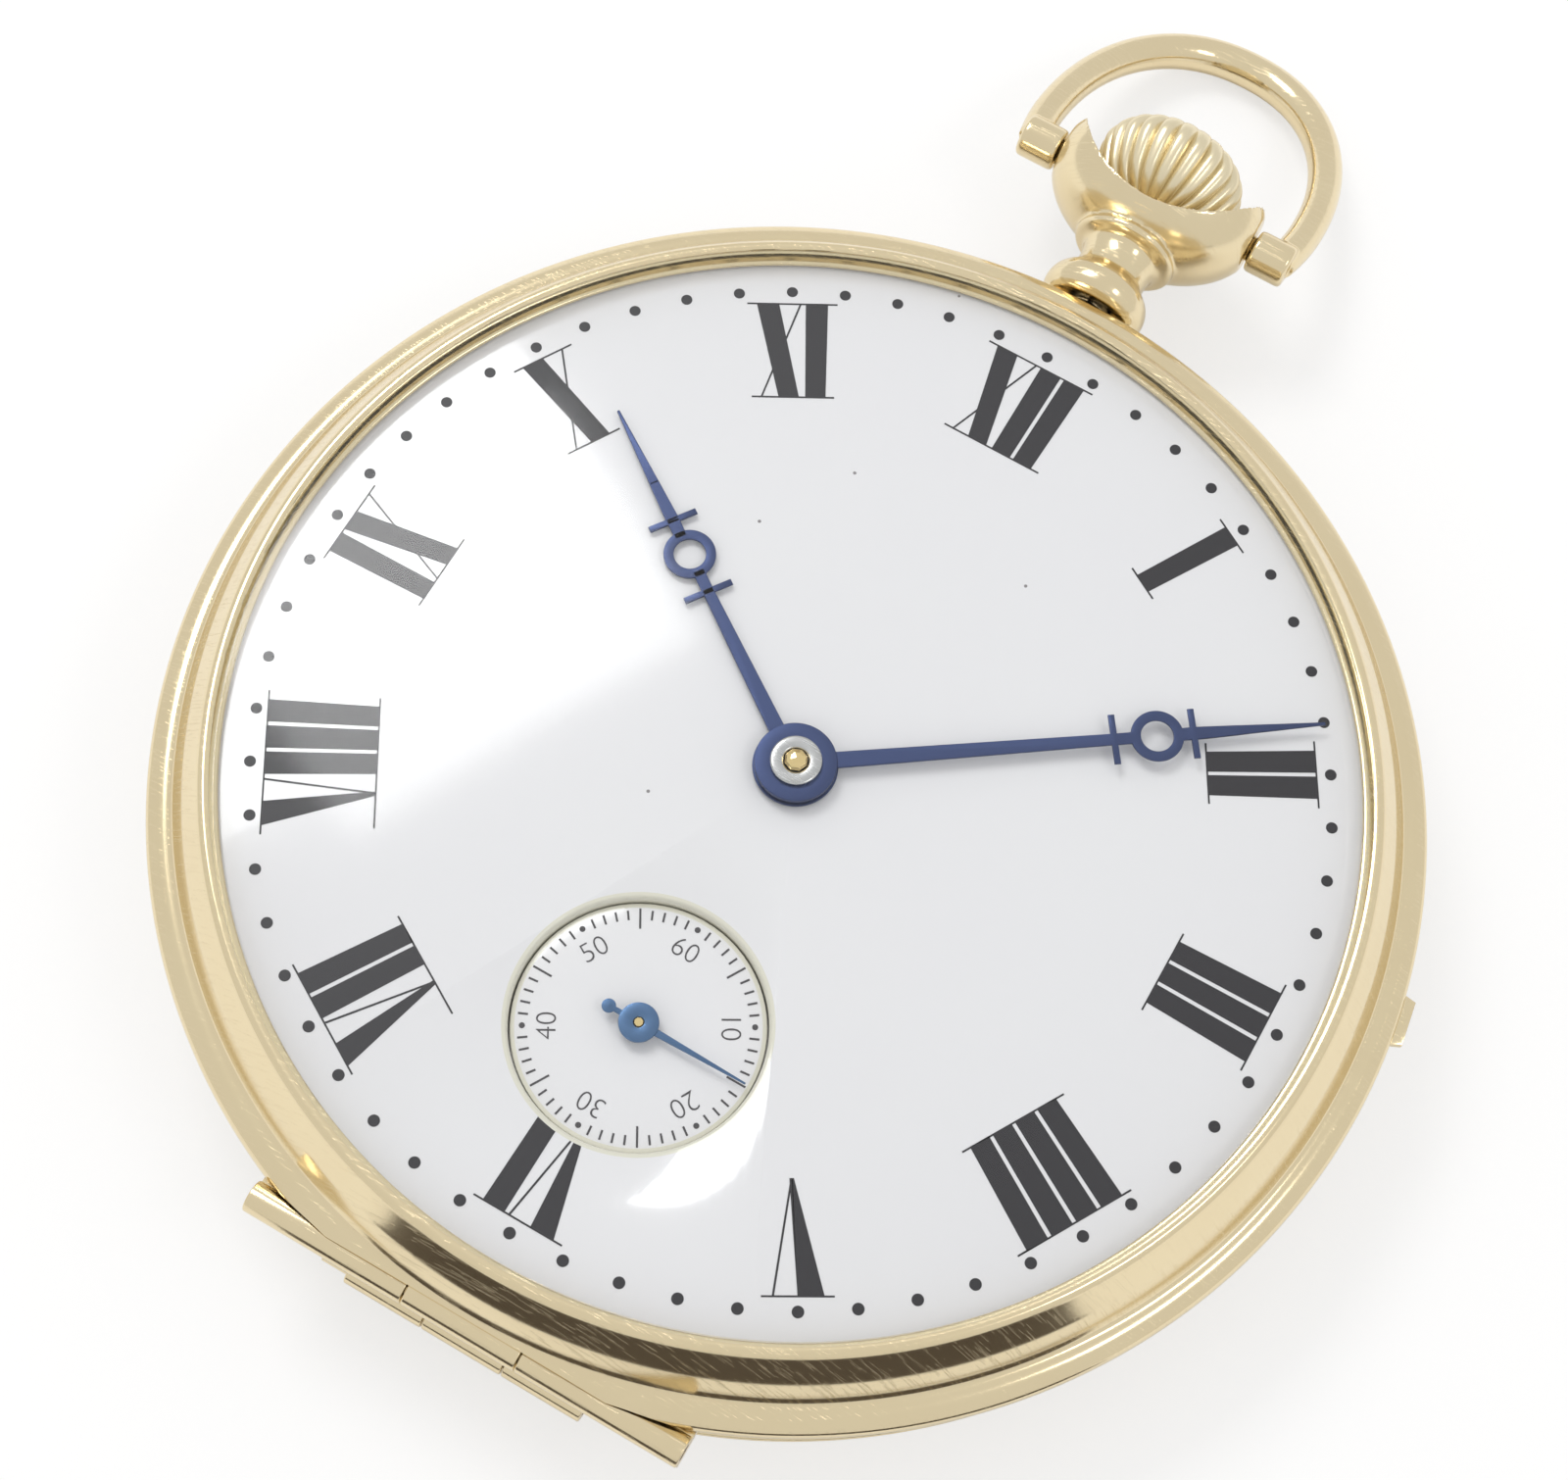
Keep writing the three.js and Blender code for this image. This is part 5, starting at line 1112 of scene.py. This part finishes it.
@dataclass
class NumeralRing:
    """Roman hours, feet towards the centre, and the ring of minute dots."""

    top_r: float = 17.74
    foot_r: float = 13.95
    heavy: float = 0.8
    hair: float = 0.06
    gap: float = 0.14
    serif: float = 0.34
    v_width: float = 1.65
    x_width: float = 1.62
    foot_share: float = 0.9
    dot_circle_r: float = 18.2
    dot_r: float = 0.2
    six_cut_r: float = 4.46
    hours: tuple[str, ...] = ("XII", "I", "II", "III", "IIII", "V", "VI", "VII", "VIII", "IX", "X", "XI")

    def solids(self, levels: Point, well: Point) -> Solid:
        """All numerals and dots.

        Args:
            levels: Bottom and top of the print.
            well: Centre of the seconds well that cuts the VI.

        Returns:
            One solid.
        """
        made = Solid(bmesh.new())
        for hour, text in enumerate(self.hours):
            numeral = self._numeral(text, hour * 30, levels)
            if text == "VI":
                numeral.cut(Solid.rod(self.six_cut_r, (0, 12), Axis.Z, (*well, 0), 96))
            made.added(numeral)
        for minute in range(60):
            place = polar(self.dot_circle_r, minute * 6)
            made.added(Solid.rod(self.dot_r, levels, Axis.Z, (*place, 0), 20))
        return made

    def _width(self, stroke: Stroke) -> float:
        """A stroke's own width at the top."""
        return {Stroke.I: self.heavy, Stroke.V: self.v_width, Stroke.X: self.x_width}[stroke]

    def _numeral(self, text: str, bearing: float, levels: Point) -> Solid:
        """One numeral, united from its strokes.

        Args:
            text: Its letters.
            bearing: Where it stands.
            levels: Bottom and top of the print.

        Returns:
            The solid.
        """
        strokes = [Stroke[letter] for letter in text]
        total = sum(map(self._width, strokes)) + self.gap * (len(strokes) - 1)
        turn = Matrix.Rotation(math.radians(-bearing), 4, "Z")
        middle = (self.top_r + self.foot_r) / 2

        def placed(u: float, r: float) -> Point:
            share = self.foot_share + (1 - self.foot_share) * (r - self.foot_r) / (self.top_r - self.foot_r)
            return u * share, r

        def line(start: Point, end: Point, widths: Point) -> Solid:
            corners = [
                placed(start[0] - widths[0] / 2, start[1]), placed(start[0] + widths[0] / 2, start[1]),
                placed(end[0] + widths[1] / 2, end[1]), placed(end[0] - widths[1] / 2, end[1]),
            ]
            return Solid.slab(corners, levels).moved(turn)

        half_hair = self.hair / 2
        left = -total / 2
        top_serif = line((0, self.top_r), (0, self.top_r - self.hair), (total + 2 * self.serif,) * 2)
        foot_serif = line((0, self.foot_r + self.hair), (0, self.foot_r), (total + 2 * self.serif,) * 2)
        pieces = []
        if text != "V":
            pieces += [top_serif, foot_serif]
        for stroke in strokes:
            width = self._width(stroke)
            right = left + width
            if stroke is Stroke.I:
                at = left + width / 2
                pieces.append(line((at, self.foot_r), (at, self.top_r), (self.heavy,) * 2))
            elif stroke is Stroke.X:
                slant = 0.72
                pieces.append(
                    line((left + slant + self.heavy / 2, self.foot_r), (left + self.heavy / 2, self.top_r),
                         (self.heavy,) * 2)
                )
                pieces.append(
                    line((left + half_hair, self.foot_r), (right - half_hair, self.top_r), (self.hair * 1.2,) * 2)
                )
            else:
                foot = left + 0.62 * width
                pieces.append(
                    line((foot, self.foot_r), (left + self.heavy / 2, self.top_r), (0.16, self.heavy * 1.08))
                )
                pieces.append(line((foot, self.foot_r), (right - half_hair, self.top_r), (self.hair * 1.2,) * 2))
                if text == "V":
                    pieces.append(
                        line((0, self.top_r), (0, self.top_r - self.hair), (total + 2 * self.serif,) * 2)
                    )
            left = right + self.gap
        assert middle > 0
        return pieces[0].united(*pieces[1:])


@dataclass
class Dial:
    """The enamel dial, its seconds well and everything printed on them."""

    top_z: float = 7.8
    thickness: float = 0.8
    r: float = 19.55
    centre_hole_r: float = 1.1
    well: Point = (0.0, -10.25)
    well_r: float = 4.26
    well_sink: float = 0.45
    floor_thickness: float = 0.3
    ink: float = 0.012
    sink_into: float = 0.01
    tick: Point = (3.63, 3.96)
    long_tick: Point = (3.32, 4.02)
    tick_width: float = 0.07
    ten_dot_r: float = 0.1
    ten_dot_circle: float = 3.8
    figure_height: float = 0.98
    figure_circle: float = 2.98
    numerals: NumeralRing = field(default_factory=NumeralRing)

    def build(self) -> None:
        """Builds the dial, its well and the print."""
        low, high = self.top_z - self.thickness, self.top_z
        corners = [(0, low), (self.r, low), (self.r, high), (0, high)]
        plate = Solid.turned(softened(corners, 0.2, closed=False), 240)
        plate.cut(
            Solid.rod(self.centre_hole_r, (low - 1, high + 1), Axis.Z, steps=48),
            Solid.turned(
                [(0, low - 1), (self.well_r, low - 1), (self.well_r, high - 0.14),
                 (self.well_r + 0.05, high - 0.04), (self.well_r + 0.16, high + 0.02),
                 (self.well_r + 0.16, high + 1), (0, high + 1)],
                128, centre=(*self.well, 0),
            ),
        )
        plate.shown("enamel_dial", DIAL_WHITE, "case", ["dial"], "enamel", 50)
        floor = self.top_z - self.well_sink
        well = Solid.ring(self.well_r - 0.06, 0.3, (floor - self.floor_thickness, floor), self.well, 0.04)
        well.shown("seconds_well", DIAL_WHITE, "case", ["seconds_dial"], "enamel")
        levels = (high - self.sink_into, high + self.ink)
        self.numerals.solids(levels, self.well).shown("hour_print", INK, "case", slot="enamel")
        self._seconds_print(floor).shown("seconds_print", FINE_INK, "case", slot="enamel")

    def _seconds_print(self, floor: float) -> Solid:
        """Second marks and the ten-second figures.

        Args:
            floor: Height of the well's floor.

        Returns:
            One solid.
        """
        levels = (floor - self.sink_into, floor + self.ink)
        made = Solid(bmesh.new())
        for second in range(60):
            bearing = second * 6
            if second % 10 == 0:
                place = polar(self.ten_dot_circle, bearing, self.well)
                made.added(Solid.rod(self.ten_dot_r, levels, Axis.Z, (*place, 0), 16))
                continue
            near, far = self.long_tick if second % 5 == 0 else self.tick
            start, end = polar(near, bearing, self.well), polar(far, bearing, self.well)
            made.added(Solid.bar(start, end, (self.tick_width, self.tick_width), levels))
        for figure in (60, 10, 20, 30, 40, 50):
            made.added(self._figure(str(figure), figure * 6, floor))
        return made

    def _figure(self, text: str, bearing: float, floor: float) -> Solid:
        """A figure of the seconds scale, feet towards the centre.

        Args:
            text: The figure.
            bearing: Where it stands.
            floor: Height of the well's floor.

        Returns:
            The solid.
        """
        curve = bpy.data.curves.new("figure", "FONT")
        curve.body = text
        curve.size = self.figure_height
        curve.align_x = "CENTER"
        curve.align_y = "CENTER"
        curve.offset = -0.018
        curve.extrude = (self.ink + self.sink_into) / 2
        carrier = bpy.data.objects.new("figure", curve)
        bpy.context.scene.collection.objects.link(carrier)
        mesh = bpy.data.meshes.new_from_object(carrier.evaluated_get(bpy.context.evaluated_depsgraph_get()))
        shape = bmesh.new()
        shape.from_mesh(mesh)
        bpy.data.objects.remove(carrier)
        bpy.data.curves.remove(curve)
        bpy.data.meshes.remove(mesh)
        place = polar(self.figure_circle, bearing, self.well)
        level = floor + (self.ink - self.sink_into) / 2
        turn = Matrix.Rotation(math.radians(-bearing), 4, "Z")
        return Solid(shape)._closed().moved(Matrix.Translation((*place, level)) @ turn)


# ---------- hands ----------


@dataclass
class HandSizes:
    """A hand with a pierced ring between two cross bars."""

    bearing: float
    levels: Point
    tip: float
    ring_at: float
    bars: Point
    bore: float
    hub: float
    ring_r: float = 0.91
    ring_hole_r: float = 0.56
    bar_half: float = 0.89
    edge: float = 0.025

    def solid(self) -> Solid:
        """The hand, pointing at its bearing."""

        def limb(near: float, far: float, widths: Point) -> Solid:
            return Solid.bar((0, near), (0, far), widths, self.levels, self.edge)

        inner, outer = self.bars
        ring_reach = self.ring_hole_r + 0.12
        pieces = [
            limb(0, inner, (0.6, 0.4)),
            limb(inner - 0.05, self.ring_at - ring_reach, (0.4, 0.42)),
            limb(self.ring_at + ring_reach, outer + 0.05, (0.42, 0.46)),
            limb(outer, outer + (self.tip - outer) * 0.35, (0.46, 0.34)),
            limb(outer + (self.tip - outer) * 0.33, self.tip, (0.34, 0.09)),
            Solid.ring(self.ring_r, self.ring_hole_r, self.levels, (0, self.ring_at), 0.02),
            *(
                Solid.bar((-self.bar_half, place), (self.bar_half, place), (0.22, 0.22), self.levels, self.edge)
                for place in self.bars
            ),
        ]
        made = Solid.ring(self.hub, self.bore, self.levels, edge=0.02).united(*pieces)
        made.cut(Solid.rod(self.bore, (0, 12), Axis.Z, steps=64))
        return made.moved(Matrix.Rotation(math.radians(-self.bearing), 4, "Z"))


@dataclass
class Hands:
    """Hour, minute and seconds hands."""

    hour: HandSizes = field(
        default_factory=lambda: HandSizes(305, (7.98, 8.08), 14.56, 8.52, (6.99, 9.92), 0.85, 1.45)
    )
    minute: HandSizes = field(
        default_factory=lambda: HandSizes(54.7, (8.24, 8.34), 18.1, 12.3, (10.83, 13.56), 0.6, 1.4)
    )
    boss_r: float = 0.88
    boss_bore: float = 0.43
    boss_height: float = 0.28
    seconds_centre: Point = (0.0, -10.25)
    seconds_bearing: float = 90.0
    seconds_levels: Point = (7.76, 7.83)
    seconds_length: float = 4.0
    seconds_tail: float = 1.13
    seconds_hub: float = 0.67

    def build(self) -> None:
        """Builds the three hands."""
        self.hour.solid().shown("hour_hand_blued", BLUED, "hour_hand", ["hour_hand"], "blued_steel")
        top = self.minute.levels[1]
        collar = Solid.ring(self.minute.hub, 0.62, (top - 0.02, top + 0.1), edge=0.04)
        minute = self.minute.solid().united(collar)
        minute.shown("minute_hand_blued", BLUED, "minute_hand", ["minute_hand"], "blued_steel")
        boss = Solid.ring(self.boss_r, self.boss_bore, (top + 0.1, top + self.boss_height), edge=0.09)
        boss.shown("minute_hand_boss", STEEL, "minute_hand", slot="steel")
        self._seconds().shown("seconds_hand_blued", PALE_BLUED, "fourth_wheel", ["seconds_hand"], "blued_steel")

    def _seconds(self) -> Solid:
        """The seconds hand with its round tail."""
        low, high = self.seconds_levels
        levels = self.seconds_levels
        made = Solid.ring(self.seconds_hub, 0.18, (low, high + 0.05), edge=0.02).united(
            Solid.bar((0, 0.4), (0, self.seconds_length), (0.26, 0.06), levels, 0.012),
            Solid.bar((0, -0.4), (0, -self.seconds_tail), (0.2, 0.16), levels, 0.012),
            Solid.rod(0.24, levels, Axis.Z, (0, -self.seconds_tail, 0), 32, 0.02),
        )
        turn = Matrix.Rotation(math.radians(-self.seconds_bearing), 4, "Z")
        return made.moved(Matrix.Translation((*self.seconds_centre, 0)) @ turn)


# ---------- movement ----------


@dataclass
class Movement:
    """Finishes of the movement's own frame nodes, which keep their shapes."""

    finishes: dict[str, Finish] = field(
        default_factory=lambda: {
            "main_plate": NICKEL, "barrel_bridge": NICKEL, "train_bridge": NICKEL,
            "balance_cock": NICKEL, "pallet_cock": NICKEL,
            "bezel_hinge_pin": GOLD, "back_hinge_pin": GOLD,
            "mainspring": BLUED, "hairspring": BLUED,
        }
    )
    endings: dict[str, Finish] = field(
        default_factory=lambda: {"_jewel": RUBY, "_screw": BLUED, "_wheel": BRASS}
    )
    brass_nodes: tuple[str, ...] = ("barrel", "barrel_cap")
    steel_wheels: tuple[str, ...] = ("crown_wheel", "ratchet_wheel")

    def dress(self, nodes: dict[str, bpy.types.Object]) -> None:
        """Gives each node its finish.

        Args:
            nodes: The frame's nodes by name.
        """
        for name, node in nodes.items():
            finish = self._finish_of(name)
            node.data.materials.clear()
            node.data.materials.append(finish.material())
            log.info("%s: %s", name, finish.name)

    def _finish_of(self, name: str) -> Finish:
        """The finish of one node.

        Args:
            name: The node's name.

        Returns:
            Its finish.
        """
        if name in self.finishes:
            return self.finishes[name]
        if name in self.brass_nodes:
            return BRASS
        if name in self.steel_wheels:
            return STEEL
        bare = name.rstrip("0123456789").rstrip("_")
        for ending, finish in self.endings.items():
            if bare.endswith(ending):
                return finish
        return STEEL


# ---------- studio ----------


@dataclass
class Lamp:
    """A soft box that shines at the watch."""

    name: str
    place: tuple[float, float, float]
    size: Point
    power: float
    target: tuple[float, float, float] = (0.0, 0.0, 8.0)
    gloss_only: bool = False

    def build(self) -> None:
        """Adds the lamp."""
        data = bpy.data.lights.new(self.name, "AREA")
        data.shape = "RECTANGLE"
        data.size, data.size_y = (side * MM for side in self.size)
        data.energy = self.power
        made = bpy.data.objects.new(self.name, data)
        bpy.context.scene.collection.objects.link(made)
        place, target = Vector(self.place) * MM, Vector(self.target) * MM
        aim = (target - place).to_track_quat("-Z", "Y").to_matrix().to_4x4()
        made.matrix_world = Matrix.Translation(place) @ aim
        made.visible_camera = False
        made.visible_transmission = not self.gloss_only
        made.visible_diffuse = not self.gloss_only


@dataclass
class Card:
    """A dark cloth on the floor that the polished metal mirrors; nothing else sees it."""

    name: str
    bearings: Point
    reach: Point
    levels: Point
    shade: float
    steps: int = 12

    def build(self) -> None:
        """Adds the cloth."""
        start, end = self.bearings
        turns = [start + (end - start) * i / self.steps for i in range(self.steps + 1)]
        outline = [polar(self.reach[0], turn) for turn in turns]
        outline += [polar(self.reach[1], turn) for turn in reversed(turns)]
        shape = Solid.slab(outline, self.levels).moved(Matrix.Scale(MM, 4)).shape
        mesh = bpy.data.meshes.new(self.name)
        shape.to_mesh(mesh)
        shape.free()
        made = bpy.data.objects.new(self.name, mesh)
        bpy.context.scene.collection.objects.link(made)
        colour = (self.shade, self.shade * 0.72, self.shade * 0.55, 1)
        mesh.materials.append(Finish(self.name, colour, roughness=0.9).material())
        made.visible_camera = False
        made.visible_diffuse = False
        made.visible_shadow = False
        made.visible_transmission = False


@dataclass
class Studio:
    """Floor, backdrop, soft light and camera."""

    target: tuple[float, float, float] = (-0.82, 0.69, 7.8)
    azimuth: float = 22.73
    elevation: float = 69.02
    distance: float = 97.3
    roll: float = 7.55
    lens: float = 66.17
    sensor: float = 36.0
    floor_size: float = 1600.0
    floor_drop: float = 0.02
    world_level: float = 0.8
    lamps: tuple[Lamp, ...] = (
        Lamp("key_box", (-145, 80, 255), (120, 95), 0.26),
        Lamp("fill_box", (165, -5, 240), (100, 50), 0.06),
    )
    cards: tuple[Card, ...] = (
        Card("dark_cloth", (118, 196), (34, 400), (0.2, 0.6), 0.045),
    )

    def build(self) -> None:
        """Builds the studio."""
        self._world()
        self._floor()
        for item in (*self.lamps, *self.cards):
            item.build()
        self._camera()
        bpy.context.scene.view_settings.view_transform = "Standard"

    def _world(self) -> None:
        """An even pale world that is white where it is looked at."""
        world = bpy.data.worlds.new("studio_world")
        world.use_nodes = True
        bpy.context.scene.world = world
        tree = ShaderTree(world.node_tree)
        seen = tree.node("ShaderNodeLightPath", output="Is Camera Ray")
        lit = tree.node("ShaderNodeBackground", {}, {"Color": (1, 1, 1, 1), "Strength": self.world_level})
        white = tree.node("ShaderNodeBackground", {}, {"Color": (1, 1, 1, 1), "Strength": 1.0})
        mixed = tree.node("ShaderNodeMixShader", {}, {0: seen, 1: lit, 2: white})
        tree.surface(mixed, "ShaderNodeOutputWorld")

    def _floor(self) -> None:
        """The pale floor the watch lies on."""
        shape = bmesh.new()
        bmesh.ops.create_grid(shape, x_segments=1, y_segments=1, size=self.floor_size / 2 * MM)
        bmesh.ops.translate(shape, verts=shape.verts, vec=(0, 0, -self.floor_drop * MM))
        mesh = bpy.data.meshes.new("floor")
        shape.to_mesh(mesh)
        shape.free()
        floor = bpy.data.objects.new("floor", mesh)
        bpy.context.scene.collection.objects.link(floor)
        made = bpy.data.materials.new("pale_floor")
        made.use_nodes = True
        tree = ShaderTree(made.node_tree)
        matt = tree.node("ShaderNodeBsdfDiffuse", {}, {"Color": (0.96, 0.96, 0.96, 1)})
        glow = tree.node("ShaderNodeEmission", {}, {"Color": (1, 1, 1, 1), "Strength": 1.0})
        seen = tree.node("ShaderNodeLightPath", output="Is Camera Ray")
        mixed = tree.node("ShaderNodeMixShader", {}, {0: seen * 0.6, 1: matt, 2: glow})
        tree.surface(mixed)
        mesh.materials.append(made)

    def _camera(self) -> None:
        """The camera above and to the right of the watch's foot."""
        data = bpy.data.cameras.new("camera")
        data.lens = self.lens
        data.sensor_width = self.sensor
        data.clip_start = 0.005
        data.clip_end = 10.0
        camera = bpy.data.objects.new("camera", data)
        bpy.context.scene.collection.objects.link(camera)
        around, up = math.radians(self.azimuth), math.radians(self.elevation)
        back = Vector(
            (math.sin(around) * math.cos(up), -math.cos(around) * math.cos(up), math.sin(up))
        )
        aim = (-back).to_track_quat("-Z", "Y").to_matrix().to_4x4()
        place = (Vector(self.target) + back * self.distance) * MM
        turn = Matrix.Rotation(math.radians(self.roll), 4, "Z")
        camera.matrix_world = Matrix.Translation(place) @ aim @ turn
        bpy.context.scene.camera = camera


def main() -> None:
    """Builds the watch and its studio in order."""
    logging.basicConfig(level=logging.INFO, format="%(name)s: %(message)s")
    Movement().dress(frame["nodes"])
    Case().build()
    PendantGroup().build()
    Dial().build()
    Hands().build()
    Studio().build()


if __name__ == "__main__":
    main()
